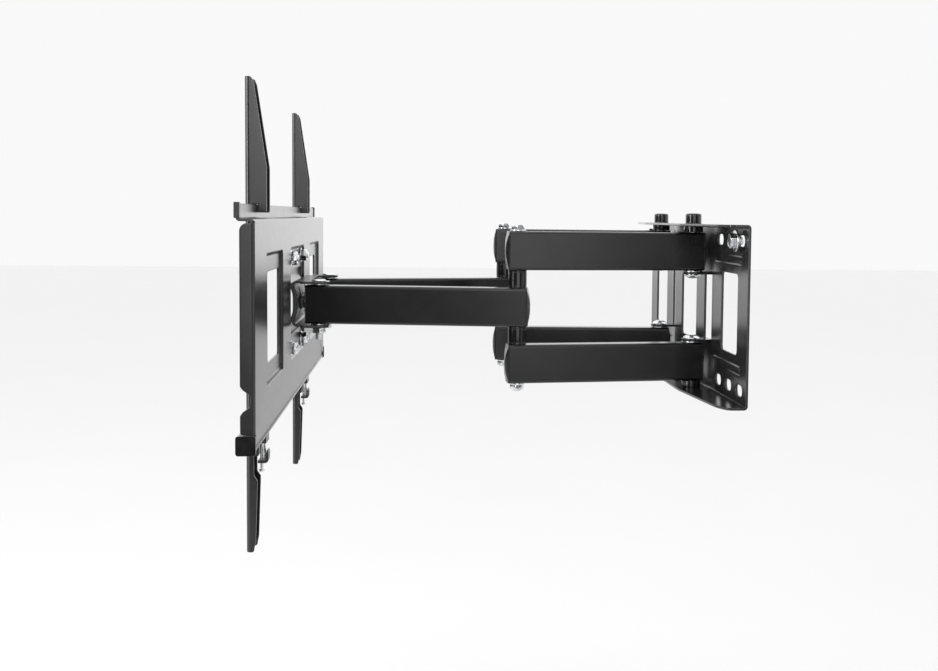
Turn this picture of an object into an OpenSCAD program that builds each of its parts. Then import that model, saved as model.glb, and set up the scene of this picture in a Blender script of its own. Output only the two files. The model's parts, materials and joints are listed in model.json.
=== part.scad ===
// Full-motion TV wall mount: pressed wall plate, two folding arms of rectangular
// tube, swivel head with a curved tilt web, pressed TV plate and two sliding
// hook-on VESA brackets with pull-down safety catches.
// X runs along the wall, +Y points into the wall, Z is up.
// The origin is the centre of the wall plate's back face.

/* [Wall plate] */
// Width of the wall plate along X
wall_w = 450; // [400:1:500]
// Height of the wall plate
wall_h = 180; // [160:1:220]
// Sheet thickness of the pressed plates
sheet = 2.5; // [2:0.1:4]
// Depth of the middle of the top and bottom flanges
flange_depth = 40; // [34:1:50]
// Depth of the flanges at the plate's ends
flange_end_depth = 18; // [12:1:30]
// Half width of the straight middle of the flanges
flange_mid_half = 95; // [80:1:120]
// How far the stiffening emboss stands off the wall
emboss = 3; // [2:0.5:5]
// Height of the long stiffening ribs above the plate centre
long_rib_z = 52; // [46:1:56]
// Height of the short stiffening ribs above the plate centre
short_rib_z = 60; // [57:1:64]
// Half width of the full-height embossed centre
emboss_centre_half_w = 101; // [90:1:110]
// Half height of the windows
window_half_h = 40.5; // [34:0.5:44]
// Corner radius of the windows
window_r = 5; // [2:0.5:8]
// Inner and outer X of the wide outer windows
outer_window_x = [130, 190];
// Half width of the centre window
centre_window_half_w = 35; // [28:1:40]
// X position of the two lag screws, inside the outermost slots
lag_x = 196; // [193:0.5:207]
// Gap left under the washer of each lag screw
lag_loose = 4; // [0:0.5:6]
// X positions of the wall screw slots on one side
slot_x = [122, 161, 200];
// Height of the slot rows above and below the centre
slot_z = 74; // [68:1:78]
// Length of a wall screw slot
slot_len = 23; // [18:0.5:30]
// Width of a wall screw slot
slot_w = 11; // [8:0.5:12]

/* [Arms] */
// Half spacing of the wall pivots
wall_pivot_half = 82; // [70:1:95]
// Distance from the wall to the wall pivot axes
wall_pivot_depth = 22; // [20:1:30]
// Inner link length between pivot axes
inner_len = 193; // [150:1:230]
// Outer link length between pivot axes
outer_len = 213; // [170:1:250]
// Half spacing of the head pivots
head_pivot_half = 62; // [50:1:75]
// Angle of the inner links away from square to the wall at rest
fold_rest = 4.6; // [0:0.1:84]
// Width of the arm tube
tube_w = 20; // [18:1:30]
// Height of the arm tube
tube_h = 41; // [30:1:50]
// Wall thickness of the arm tube
tube_wall = 2; // [1.5:0.1:3]
// Outer corner radius of the arm tube
tube_r = 3; // [1:0.5:5]
// Height of the spacer between stacked tubes
elbow_gap = 18.8; // [12:0.5:25]
// Distance from a pivot axis to the end of the steel tube
tube_end = 9.8; // [9:0.1:14]
// Distance from a head pivot axis to the end of the outer tube
head_tube_end = 11.5; // [10:0.1:15]

/* [Pivots] */
// Radius of every pivot bolt
bolt_r = 4; // [3:0.5:6]
// Radial running clearance of a bush on its bolt
run_gap = 0.05; // [0.02:0.01:0.1]
// Outer radius of the bushes and sleeves
bush_r = 6; // [5.5:0.1:8]
// Clearance between parts that turn past each other
side_gap = 0.4; // [0.3:0.1:1]
// Thickness of the pivot washers
washer_t = 1.2; // [0.8:0.1:2]
// Radius of the wall pivot washers and spacers
wall_washer_r = 10.4; // [9:0.1:12]
// Radius of the elbow spacers
elbow_spacer_r = 9.6; // [8:0.1:10]
// Radial clearance of the far head pivot, which closes the linkage
loop_gap = 1.4; // [1:0.1:2]

/* [Swivel head] */
// Half width of the head's top and bottom plates
head_half_w = 74.5; // [66:0.5:85]
// Half width of each pivot lobe
lobe_half_w = 12.5; // [10:0.5:15]
// Reach of a lobe past its pivot axis
lobe_reach = 10.8; // [9:0.1:14]
// Inner radius of the curved web, on the TV side
web_r = 48.5; // [40:0.5:60]
// Distance from the pivot axes to the web's tilt axis
tilt_axis_depth = 73.6; // [65:0.1:85]
// Half width of the curved web
web_half_w = 60; // [50:1:66]
// Half height of the web's tilt slots
tilt_slot_half = 16; // [12:0.5:18]
// X of the tilt studs and slots
tilt_stud_x = 28; // [20:1:40]

/* [TV plate] */
// Width of the TV plate along X
tv_w = 650; // [600:1:700]
// Top edge of the TV plate
tv_top = 92; // [80:1:110]
// Bottom edge of the TV plate
tv_bottom = -105.5; // [-120:0.5:-90]
// Distance from the head pivot axes to the TV plate's rear face
tv_depth = 29; // [27:0.5:34]
// Depth of the rails from the rear face to the outside of the lips
rail_depth = 15.5; // [13:0.5:20]
// Top of the hook rail's lip
lip_top = 104.3; // [100:0.5:115]
// Top of the bottom rail's inner lip
bottom_lip_top = -91; // [-96:0.5:-85]
// Depth of the pressed recesses
recess = 3; // [2:0.5:5]
// Half height of the recesses
recess_half_h = 61; // [55:1:66]
// Half width of the centre recess
centre_recess_half_w = 68; // [64:1:75]
// Half width and half height of the opening for the tilt web
web_opening = [63, 35];
// Inner and outer X of each side recess
side_recess_x = [132, 254];
// Inner and outer X of the window in each side recess
side_window_x = [140, 226];
// Half height of the side windows
side_window_half_h = 42.5; // [36:0.5:48]
// X and Z of the four saddle bolts
saddle_bolt = [50, 48.5];

/* [VESA brackets] */
// Half height of a VESA bracket
bracket_half_h = 222; // [200:1:240]
// X of the near bracket
near_bracket_x = 205; // [70:1:300]
// X of the far bracket
far_bracket_x = -170; // [-300:1:-70]
// Outside width of the bracket channel
bracket_w = 24; // [20:1:30]
// Sheet thickness of the brackets
bracket_t = 2; // [1.5:0.1:3]
// Distance from the head pivot axes to the bracket's TV face
bracket_depth = 53.5; // [50:0.5:60]
// Radius of the VESA holes and half width of the slots
vesa_r = 4.2; // [3:0.1:4.5]
// Length of the VESA slots
vesa_slot_len = 18; // [12:1:24]

/* [Hidden] */
$fn = 48;
e = 0.01;
black = [0.09, 0.09, 0.10];
dark_grey = [0.30, 0.30, 0.31];
plastic = [0.045, 0.045, 0.05];
zinc = [0.74, 0.75, 0.77];
elbow_x = wall_pivot_half + inner_len * sin(fold_rest);
elbow_y = -wall_pivot_depth - inner_len * cos(fold_rest);
outer_rest = asin((elbow_x - head_pivot_half) / outer_len);
head_y = elbow_y - outer_len * cos(outer_rest);
outer_top = tube_h / 2;
inner_bottom = outer_top + elbow_gap;
inner_top = inner_bottom + tube_h;
flange_in = wall_h / 2 - sheet;
tab_top = inner_bottom - side_gap - washer_t;
tab_bottom = tab_top - sheet;
plate_in = outer_top + side_gap + washer_t;
plate_out = plate_in + sheet;
bend_r = 5;
bend_z = plate_out - bend_r;
bend_y = -tilt_axis_depth + sqrt(pow(web_r + bend_r, 2) - pow(bend_z, 2));
bend_angle = asin(bend_z / (web_r + bend_r));
nut_af = 13;
nut_r = nut_af / 2 / cos(30);
rail_y = -tv_depth - rail_depth;
floor_y = -tv_depth - recess;

// ---------- shared shapes ----------

// Rounded rectangle, centred, in the drawing plane
module rounded_rect(w, h, r) {
  square([w - 2 * r, h], center = true);
  square([w, h - 2 * r], center = true);
  for (x = [-1, 1], y = [-1, 1])
    translate([x * (w / 2 - r), y * (h / 2 - r)])
      circle(r = r);
}

// Rounded rectangle given by its X and Y limits
module rounded_span(x0, x1, y0, y1, r) {
  translate([(x0 + x1) / 2, (y0 + y1) / 2])
    rounded_rect(x1 - x0, y1 - y0, r);
}

// Slot along X, centred
module slot_2d(len, w) {
  square([len - w, w], center = true);
  for (x = [-1, 1])
    translate([x * (len - w) / 2, 0])
      circle(d = w);
}

// Sheet facing the wall: the drawing's X and Y become X and Z,
// filling Y from y_back - t to y_back
module upright(y_back, t) {
  translate([0, y_back, 0])
    rotate([90, 0, 0])
      linear_extrude(t)
        children();
}

// Profile drawn in Y and Z, extruded along X about x = 0
module along_x(w) {
  rotate([90, 0, 90])
    translate([0, 0, -w / 2])
      linear_extrude(w)
        children();
}

// Flat sheet between two heights
module level(z0, z1) {
  translate([0, 0, z0])
    linear_extrude(z1 - z0)
      children();
}

// Copies on both sides of the wall's centre plane
module both_sides() {
  children();
  mirror([1, 0, 0])
    children();
}

// Copies above and below the middle
module top_and_bottom() {
  children();
  mirror([0, 0, 1])
    children();
}

// Upright ring between two heights
module ring(r_out, r_in, z0, z1) {
  level(z0, z1)
    difference() {
      circle(r = r_out);
      circle(r = r_in);
    }
}

// Hexagon head with a bevelled crown, standing on z = 0
module hex_head(h) {
  intersection() {
    cylinder(r = nut_r, h = h, $fn = 6);
    rotate_extrude()
      polygon([[0, 0], [nut_r + 0.2, 0], [nut_r + 0.2, h - 1.2], [nut_af / 2 - 0.3, h], [0, h]]);
  }
}

// Hexagon nut with a plain bore, standing on z = 0
module hex_nut(h) {
  difference() {
    hex_head(h);
    translate([0, 0, -1])
      cylinder(r = bolt_r + run_gap, h = h + 2);
  }
}

// ---------- link frames: local X runs along the link ----------

module near_inner_frame() {
  translate([wall_pivot_half, -wall_pivot_depth, 0])
    rotate([0, 0, fold_rest - 90])
      children();
}

module near_outer_frame() {
  translate([elbow_x, elbow_y, 0])
    rotate([0, 0, -90 - outer_rest])
      children();
}

module head_frame() {
  translate([0, head_y, 0])
    children();
}

// ---------- wall plate ----------

// Outline of the embossed area, grown or shrunk by d
module emboss_2d(d) {
  square([2 * (emboss_centre_half_w + d), wall_h - 2 * e], center = true);
}

// Pressed stiffening ribs above and below each outer window
module wall_ribs_2d() {
  for (sx = [-1, 1])
    for (sz = [-1, 1])
      scale([sx, sz]) {
        rounded_span(emboss_centre_half_w + 3, 204, long_rib_z - 2.2, long_rib_z + 2.2, 2);
        rounded_span(158, 206, short_rib_z - 2.2, short_rib_z + 2.2, 2);
      }
}

module wall_windows_2d() {
  for (s = [-1, 1]) {
    translate([s * (outer_window_x[0] + outer_window_x[1]) / 2, 0])
      rounded_rect(outer_window_x[1] - outer_window_x[0], 2 * window_half_h, window_r);
    translate([s * wall_pivot_half, 0])
      square([22, 2 * tab_bottom], center = true);
  }
  rounded_rect(2 * centre_window_half_w, 2 * window_half_h, window_r);
}

module wall_slots_2d() {
  for (s = [-1, 1], x = slot_x, z = [-1, 1])
    translate([s * x, z * slot_z])
      slot_2d(slot_len, slot_w);
}

module flange_2d() {
  difference() {
    polygon([[-wall_w / 2, 0], [-wall_w / 2, -flange_end_depth + 2],
      [-wall_w / 2 + 3, -flange_end_depth - 3], [-206, -27.5],
      [-flange_mid_half, -flange_depth], [flange_mid_half, -flange_depth], [206, -27.5],
      [wall_w / 2 - 3, -flange_end_depth - 3], [wall_w / 2, -flange_end_depth + 2],
      [wall_w / 2, 0]]);
    for (s = [-1, 1])
      translate([s * wall_pivot_half, -wall_pivot_depth])
        circle(r = bolt_r + 0.2);
  }
}

module tab_2d() {
  difference() {
    union() {
      translate([wall_pivot_half - 11, -wall_pivot_depth])
        square([22, wall_pivot_depth - emboss]);
      translate([wall_pivot_half, -wall_pivot_depth])
        circle(r = 11);
    }
    translate([wall_pivot_half, -wall_pivot_depth])
      circle(r = bolt_r + 0.2);
  }
}

module wall_plate() {
  color(dark_grey) {
    difference() {
      union() {
        upright(0, sheet)
          difference() {
            rounded_rect(wall_w, wall_h, 3);
            emboss_2d(-sheet);
          }
        upright(0, sheet + emboss)
          difference() {
            emboss_2d(0);
            emboss_2d(-sheet);
          }
        upright(-emboss, sheet)
          emboss_2d(0);
        upright(-1, sheet + 0.2)
          wall_ribs_2d();
      }
      upright(1, 10)
        wall_slots_2d();
      upright(1, 10)
        wall_windows_2d();
    }
    top_and_bottom() {
      level(flange_in, wall_h / 2)
        flange_2d();
      both_sides()
        level(tab_bottom, tab_top)
          tab_2d();
    }
  }
}

module wall_pivot_bolts() {
  color(zinc)
    both_sides()
      top_and_bottom()
        translate([wall_pivot_half, -wall_pivot_depth, 0]) {
          translate([0, 0, wall_h / 2])
            hex_head(6);
          translate([0, 0, tab_bottom - 6.5])
            cylinder(r = bolt_r, h = wall_h / 2 - tab_bottom + 6.5 + e);
        }
}

module wall_pivot_nuts() {
  color(zinc)
    both_sides()
      top_and_bottom()
        translate([wall_pivot_half, -wall_pivot_depth, tab_bottom])
          rotate_extrude()
            polygon([[bolt_r, 0], [8.9, 0], [8.9, -1.1], [7.4, -2.6], [5.6, -3.6], [bolt_r, -4.2]]);
}

// Domed snap caps over the two upper bolt heads
module wall_bolt_caps() {
  color(plastic)
    both_sides()
      translate([wall_pivot_half, -wall_pivot_depth, wall_h / 2])
        rotate_extrude()
          polygon([[nut_r + 0.1, 0], [8.7, 0], [8.7, 8], [8.2, 9.7], [6.8, 10.8],
            [4, 11.4], [0, 11.6], [0, 6.8], [nut_r + 0.1, 6.8]]);
}

module wall_spacers() {
  color(plastic)
    both_sides()
      top_and_bottom()
        translate([wall_pivot_half, -wall_pivot_depth, 0])
          ring(wall_washer_r, bolt_r + 0.2, inner_top + side_gap, flange_in);
}

module wall_washers() {
  color(zinc)
    both_sides()
      top_and_bottom()
        translate([wall_pivot_half, -wall_pivot_depth, 0])
          ring(wall_washer_r, bolt_r + 0.2, tab_top, tab_top + washer_t);
}

// Wall screws cut off flush with the plate's back
module lag_screws() {
  color(zinc)
    both_sides()
      translate([lag_x, 0, slot_z])
        rotate([90, 0, 0]) {
          translate([0, 0, sheet + lag_loose + 2])
            hex_head(5.5);
          cylinder(r = bolt_r, h = sheet + lag_loose + 2 + e);
        }
}

module lag_washers() {
  color(zinc)
    both_sides()
      translate([lag_x, -sheet - lag_loose, slot_z])
        rotate([90, 0, 0])
          ring(11, bolt_r + 0.3, 0, 2);
}

// ---------- arm parts in link frames ----------

// Rectangular tube between local X limits with upright holes
module arm_tube(x0, x1, z_mid, holes) {
  difference() {
    translate([(x0 + x1) / 2, 0, z_mid])
      along_x(x1 - x0)
        difference() {
          rounded_rect(tube_w, tube_h, tube_r);
          rounded_rect(tube_w - 2 * tube_wall, tube_h - 2 * tube_wall, tube_r - tube_wall);
        }
    for (x = holes)
      translate([x, 0, z_mid - tube_h])
        cylinder(r = bush_r, h = 2 * tube_h);
  }
}

// Convex end cap with a short plug, on a tube end facing local +X at x = 0
module round_cap(z_mid) {
  bulge_r = 17.2;
  rise_r = 57;
  translate([0, 0, z_mid]) {
    intersection() {
      level(-tube_h / 2, tube_h / 2)
        intersection() {
          translate([3.8 - bulge_r, 0])
            circle(r = bulge_r, $fn = 96);
          translate([0, -tube_w / 2])
            square([20, tube_w]);
        }
      translate([3.8 - rise_r, 0, 0])
        rotate([90, 0, 0])
          cylinder(r = rise_r, h = tube_w + 4, center = true, $fn = 192);
    }
    plug(3);
  }
}

// Flat end cap with a short plug
module flat_cap(z_mid) {
  translate([0, 0, z_mid]) {
    translate([0.75, 0, 0])
      along_x(1.5)
        rounded_rect(tube_w, tube_h, tube_r);
    plug(4);
  }
}

module plug(depth) {
  translate([e - depth / 2, 0, 0])
    along_x(depth)
      square([tube_w - 2 * tube_wall - 0.2, tube_h - 2 * tube_wall - 0.2], center = true);
}

inner_mid = (inner_bottom + inner_top) / 2;

module inner_upper_tube() {
  near_inner_frame()
    arm_tube(-tube_end, inner_len + tube_end, inner_mid, [0, inner_len]);
}

module inner_lower_tube() {
  near_inner_frame()
    arm_tube(-tube_end, inner_len + tube_end, -inner_mid, [0, inner_len]);
}

module inner_bushes() {
  near_inner_frame()
    top_and_bottom()
      ring(bush_r, bolt_r + run_gap, inner_bottom, inner_top);
}

module elbow_sleeves() {
  near_inner_frame()
    translate([inner_len, 0, 0])
      top_and_bottom()
        ring(bush_r, bolt_r + 0.2, inner_bottom, inner_top);
}

module inner_caps() {
  near_inner_frame()
    top_and_bottom() {
      translate([inner_len + tube_end, 0, 0])
        round_cap(inner_mid);
      translate([-tube_end, 0, 0])
        rotate([0, 0, 180])
          round_cap(inner_mid);
    }
}

module elbow_bolt() {
  near_inner_frame()
    translate([inner_len, 0, 0]) {
      translate([0, 0, inner_top + 1.6])
        hex_head(5.3);
      translate([0, 0, -inner_top - 8.8])
        cylinder(r = bolt_r, h = 2 * inner_top + 10.4 + e);
    }
}

module elbow_nut() {
  near_inner_frame()
    translate([inner_len, 0, -inner_top - 1.6])
      mirror([0, 0, 1])
        hex_nut(6);
}

module elbow_washers() {
  near_inner_frame()
    translate([inner_len, 0, 0])
      top_and_bottom()
        ring(8.4, bolt_r + 0.2, inner_top, inner_top + 1.6);
}

module elbow_spacers() {
  near_inner_frame()
    translate([inner_len, 0, 0])
      top_and_bottom()
        ring(elbow_spacer_r, bolt_r + 0.2, outer_top + side_gap, inner_bottom);
}

module outer_tube(head_hole_r) {
  near_outer_frame()
    difference() {
      arm_tube(-tube_end, outer_len + head_tube_end, 0, [0, outer_len]);
      translate([outer_len, 0, -tube_h])
        cylinder(r = head_hole_r, h = 2 * tube_h);
    }
}

module outer_bushes(head_r_out, head_r_in) {
  near_outer_frame() {
    ring(bush_r, bolt_r + run_gap, -outer_top, outer_top);
    translate([outer_len, 0, 0])
      ring(head_r_out, head_r_in, -outer_top, outer_top);
  }
}

module outer_caps() {
  near_outer_frame() {
    translate([-tube_end, 0, 0])
      rotate([0, 0, 180])
        round_cap(0);
    translate([outer_len + head_tube_end, 0, 0])
      flat_cap(0);
  }
}

module near_upper_tube() {
  color(black)
    inner_upper_tube();
}

module near_lower_tube() {
  color(black)
    inner_lower_tube();
}

module near_inner_bushes() {
  color(plastic)
    inner_bushes();
}

module near_elbow_sleeves() {
  color(zinc)
    elbow_sleeves();
}

module near_inner_caps() {
  color(plastic)
    inner_caps();
}

module near_elbow_bolt() {
  color(zinc)
    elbow_bolt();
}

module near_elbow_nut() {
  color(zinc)
    elbow_nut();
}

module near_elbow_washers() {
  color(zinc)
    elbow_washers();
}

module near_elbow_spacers() {
  color(plastic)
    elbow_spacers();
}

module near_outer_tube() {
  color(black)
    outer_tube(bush_r);
}

module near_outer_bushes() {
  color(plastic)
    outer_bushes(bush_r, bolt_r + run_gap);
}

module near_outer_caps() {
  color(plastic)
    outer_caps();
}

module far_upper_tube() {
  color(black)
    mirror([1, 0, 0])
      inner_upper_tube();
}

module far_lower_tube() {
  color(black)
    mirror([1, 0, 0])
      inner_lower_tube();
}

module far_inner_bushes() {
  color(plastic)
    mirror([1, 0, 0])
      inner_bushes();
}

module far_elbow_sleeves() {
  color(zinc)
    mirror([1, 0, 0])
      elbow_sleeves();
}

module far_inner_caps() {
  color(plastic)
    mirror([1, 0, 0])
      inner_caps();
}

module far_elbow_bolt() {
  color(zinc)
    mirror([1, 0, 0])
      elbow_bolt();
}

module far_elbow_nut() {
  color(zinc)
    mirror([1, 0, 0])
      elbow_nut();
}

module far_elbow_washers() {
  color(zinc)
    mirror([1, 0, 0])
      elbow_washers();
}

module far_elbow_spacers() {
  color(plastic)
    mirror([1, 0, 0])
      elbow_spacers();
}

module far_outer_tube() {
  color(black)
    mirror([1, 0, 0])
      outer_tube(bolt_r + loop_gap + 1.4);
}

module far_outer_bushes() {
  color(plastic)
    mirror([1, 0, 0])
      outer_bushes(bolt_r + loop_gap + 1.4, bolt_r + loop_gap);
}

module far_outer_caps() {
  color(plastic)
    mirror([1, 0, 0])
      outer_caps();
}

// ---------- swivel head ----------

module head_plate_2d() {
  difference() {
    union() {
      translate([-web_half_w, bend_y])
        square([2 * web_half_w, -14 - bend_y]);
      rounded_span(-head_half_w, head_half_w, -19, -11, 3);
      for (s = [-1, 1])
        translate([s * head_pivot_half, 0])
          rounded_span(-lobe_half_w, lobe_half_w, -17, lobe_reach, 6);
    }
    for (s = [-1, 1])
      translate([s * head_pivot_half, 0])
        circle(r = bolt_r + 0.2);
  }
}

// Web and its two bends, drawn in Y and Z about the pivot line
module web_2d() {
  wedge = 120;
  intersection() {
    translate([-tilt_axis_depth, 0])
      difference() {
        circle(r = web_r + sheet, $fn = 180);
        circle(r = web_r, $fn = 180);
      }
    translate([-tilt_axis_depth, 0])
      polygon([[0, 0], [wedge * cos(bend_angle), wedge * sin(bend_angle)],
        [wedge * cos(bend_angle), -wedge * sin(bend_angle)]]);
  }
  for (m = [0, 1])
    mirror([0, m])
      translate([bend_y, bend_z])
        intersection() {
          difference() {
            circle(r = bend_r);
            circle(r = bend_r - sheet);
          }
          polygon([[0, 0], [0, 20], [-20, 20], [-20 * cos(bend_angle), -20 * sin(bend_angle)]]);
        }
}

module head_bracket() {
  color(black)
    head_frame() {
      difference() {
        along_x(2 * web_half_w)
          web_2d();
        for (s = [-1, 1])
          translate([s * tilt_stud_x, 0, 0])
            upright(-10, 30)
              rounded_rect(2 * bolt_r + 1, 2 * tilt_slot_half, bolt_r + 0.4);
      }
      top_and_bottom()
        level(plate_in, plate_out)
          head_plate_2d();
    }
}

module head_bolts() {
  color(zinc)
    head_frame()
      both_sides()
        translate([head_pivot_half, 0, 0]) {
          level(plate_out, plate_out + 1.8)
            circle(r = 7.5);
          translate([0, 0, -38])
            cylinder(r = bolt_r, h = 38 + plate_out + e);
        }
}

module head_nuts() {
  color(zinc)
    head_frame()
      both_sides()
        translate([head_pivot_half, 0, -plate_out])
          mirror([0, 0, 1])
            hex_nut(6.5);
}

module head_washers() {
  color(zinc)
    head_frame()
      both_sides()
        translate([head_pivot_half, 0, 0])
          top_and_bottom()
            ring(8.6, bolt_r + 0.2, plate_in - washer_t, plate_in);
}

// ---------- TV plate and tilt saddle ----------

module side_recess_2d(d) {
  rounded_span(side_recess_x[0] + d, side_recess_x[1] - d,
    -recess_half_h + d, recess_half_h - d, 6);
}

module centre_recess_2d(d) {
  rounded_rect(2 * (centre_recess_half_w - d), 2 * (recess_half_h - d), 6);
}

module recesses_2d(d) {
  centre_recess_2d(d);
  side_recess_2d(d);
  mirror([1, 0])
    side_recess_2d(d);
}

module tv_openings_2d() {
  rounded_rect(2 * web_opening[0], 2 * web_opening[1], 4);
  for (s = [-1, 1])
    translate([s * (side_window_x[0] + side_window_x[1]) / 2, 0])
      rounded_rect(side_window_x[1] - side_window_x[0], 2 * side_window_half_h, 5);
}

module saddle_holes_2d() {
  for (x = [-1, 1], z = [-1, 1])
    translate([x * saddle_bolt[0], z * saddle_bolt[1]])
      circle(r = bolt_r + 0.3);
}

// Side flange drawn in Y and Z with a rounded top and a half-round notch
module side_flange_2d() {
  difference() {
    union() {
      translate([rail_y + 3, -90])
        square([rail_depth - 3, 170]);
      translate([rail_y + 11, -90])
        square([rail_depth - 11, 178]);
      translate([rail_y + 11, 80])
        circle(r = 8);
    }
    translate([rail_y + 3, -61])
      scale([1.08, 1.3])
        circle(r = 8);
  }
}

module tv_plate() {
  color(dark_grey)
    head_frame() {
      upright(-tv_depth, sheet)
        difference() {
          translate([-tv_w / 2, tv_bottom])
            square([tv_w, tv_top - tv_bottom]);
          recesses_2d(0);
        }
      upright(-tv_depth, sheet + recess)
        difference() {
          recesses_2d(0);
          recesses_2d(sheet);
        }
      upright(floor_y, sheet)
        difference() {
          recesses_2d(sheet - e);
          tv_openings_2d();
          saddle_holes_2d();
        }
      translate([-tv_w / 2, rail_y, tv_top - sheet])
        cube([tv_w, rail_depth - e, sheet]);
      translate([-tv_w / 2, rail_y, tv_top - e])
        cube([tv_w, sheet, lip_top - tv_top + e]);
      difference() {
        translate([-tv_w / 2, rail_y, tv_bottom])
          cube([tv_w, rail_depth - e, sheet]);
        for (s = [-1, 1])
          translate([s * 185, -40.5, 0])
            level(tv_bottom - 1, tv_bottom + sheet + 1)
              slot_2d(252, 5);
      }
      translate([-tv_w / 2, rail_y, tv_bottom + sheet - e])
        cube([tv_w, sheet, bottom_lip_top - tv_bottom - sheet + e]);
      both_sides()
        translate([tv_w / 2 - sheet / 2, 0, 0])
          along_x(sheet)
            side_flange_2d();
    }
}

// Arched plate the curved web tilts on, with two flat bolted feet
module tilt_saddle() {
  arch_r = web_r - side_gap;
  foot_y = floor_y - sheet;
  foot_a = acos((tilt_axis_depth + foot_y) / arch_r);
  color(black)
    head_frame() {
      difference() {
        along_x(100)
          intersection() {
            translate([-tilt_axis_depth, 0])
              difference() {
                circle(r = arch_r, $fn = 180);
                circle(r = arch_r - 3, $fn = 180);
              }
            translate([foot_y - 3, -40])
              square([60, 80]);
          }
        for (s = [-1, 1])
          translate([s * tilt_stud_x, 0, 0])
            rotate([90, 0, 0])
              cylinder(r = bolt_r, h = 60);
      }
      top_and_bottom()
        difference() {
          upright(foot_y, 3)
            difference() {
              rounded_span(-62, 62, arch_r * sin(foot_a) - 2.2, 58, 4);
              saddle_holes_2d();
            }
        }
    }
}

// Studs welded into the arch, passing through the web's slots
module tilt_studs() {
  stud_in = tilt_axis_depth - web_r + side_gap + 3;
  color(zinc)
    head_frame()
      both_sides()
        translate([tilt_stud_x, -11, 0])
          rotate([90, 0, 0])
            cylinder(r = bolt_r - e, h = stud_in - 11.2);
}

// Arched clamp strip on the wall side of the web
module tilt_clamp() {
  clamp_r = web_r + sheet + side_gap;
  color(black)
    head_frame()
      difference() {
        along_x(80)
          intersection() {
            translate([-tilt_axis_depth, 0])
              difference() {
                circle(r = clamp_r + 2.5, $fn = 180);
                circle(r = clamp_r, $fn = 180);
              }
            translate([-tilt_axis_depth, -7])
              square([80, 14]);
          }
        for (s = [-1, 1])
          translate([s * tilt_stud_x, 0, 0])
            rotate([90, 0, 0])
              cylinder(r = bolt_r + 0.2, h = 60);
      }
}

module tilt_nuts() {
  color(zinc)
    head_frame()
      both_sides()
        translate([tilt_stud_x, -tilt_axis_depth + web_r + sheet + side_gap + 2.5, 0])
          rotate([-90, 0, 0])
            hex_nut(6);
}

module saddle_bolts() {
  seat = tv_depth + recess + sheet + 3;
  color(zinc)
    head_frame()
      for (x = [-1, 1], z = [-1, 1])
        translate([x * saddle_bolt[0], -seat, z * saddle_bolt[1]])
          rotate([-90, 0, 0]) {
            translate([0, 0, -3])
              rotate_extrude()
                polygon([[0, 0], [5, 0.2], [7.4, 1.4], [8, 3], [0, 3]]);
            cylinder(r = bolt_r - e, h = seat - 22.4);
          }
}

module saddle_nuts() {
  color(zinc)
    head_frame()
      for (x = [-1, 1], z = [-1, 1])
        translate([x * saddle_bolt[0], floor_y + 1.6, z * saddle_bolt[1]])
          rotate([-90, 0, 0])
            hex_nut(6.4);
}

module saddle_washers() {
  color(zinc)
    head_frame()
      for (x = [-1, 1], z = [-1, 1])
        translate([x * saddle_bolt[0], floor_y, z * saddle_bolt[1]])
          rotate([-90, 0, 0])
            ring(8.5, bolt_r + 0.3, 0, 1.6);
}

// Plugs that close both ends of the bottom rail
module rail_end_caps() {
  color(plastic)
    head_frame()
      both_sides() {
        translate([tv_w / 2 + 1.25, 0, 0])
          along_x(2.5)
            rounded_span(rail_y - 0.7, -tv_depth + 0.7, tv_bottom - 1.5, -90, 2.5);
        translate([tv_w / 2 - 4 - sheet / 2, 0, 0])
          along_x(8 - sheet + 0.02)
            rounded_span(rail_y + sheet + 0.1, -tv_depth - sheet - 0.1,
              tv_bottom + sheet + 0.1, -91, 1);
        translate([tv_w / 2 - sheet / 2, 0, 0])
          along_x(sheet + 0.02)
            rounded_span(rail_y + sheet + 0.1, -tv_depth - sheet - 0.1,
              tv_bottom + sheet + 0.1, -91, 1);
      }
}

// Clips on the ends of the hook rail's lip
module lip_stops() {
  color(plastic)
    head_frame()
      both_sides()
        difference() {
          translate([tv_w / 2 - 2, 0, 0])
            along_x(7)
              rounded_span(rail_y - 1.2, rail_y + sheet + 1.0, tv_top + 0.1, lip_top + 1.2, 1);
          translate([tv_w / 2 - 10, rail_y, tv_top - 1])
            cube([10, sheet, lip_top - tv_top + 1]);
        }
}

// ---------- VESA brackets ----------

// Bracket web drawn in Y and Z: tapered top, hook over the lip, stepped tail
module bracket_web_2d() {
  face = -bracket_depth;
  notch = [rail_y - 0.7, rail_y + sheet + 0.6];
  polygon([[face, -bracket_half_h + 3], [face + 3, -bracket_half_h],
    [face + 7, -bracket_half_h], [-46, -bracket_half_h + 4], [-44.8, -bracket_half_h + 10],
    [-43, -157], [-43, -154], [-46.2, -149], [-46.2, lip_top + 0.5],
    [notch[0], lip_top + 0.5], [notch[1], lip_top + 0.5], [notch[1], 97],
    [-34.5, 97], [-33.6, 98], [-33.6, 139], [-45, bracket_half_h - 6],
    [-47, bracket_half_h - 1], [-49, bracket_half_h], [face, bracket_half_h]]);
}

module bracket(x) {
  color(black)
    head_frame()
      translate([x, 0, 0]) {
        difference() {
          upright(-bracket_depth + bracket_t, bracket_t)
            rounded_rect(bracket_w, 2 * bracket_half_h, 2);
          for (z = [-4 : 4])
            if (z != 0)
              translate([0, 0, z * 50])
                upright(-bracket_depth + 5, 10)
                  rotate(90)
                    slot_2d(vesa_slot_len, 2 * vesa_r);
        }
        both_sides()
          translate([bracket_w / 2 - bracket_t / 2, 0, 0])
            along_x(bracket_t)
              bracket_web_2d();
      }
}

lock_pin_y = -40.5;
lock_rod_y = -37.6;

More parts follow.
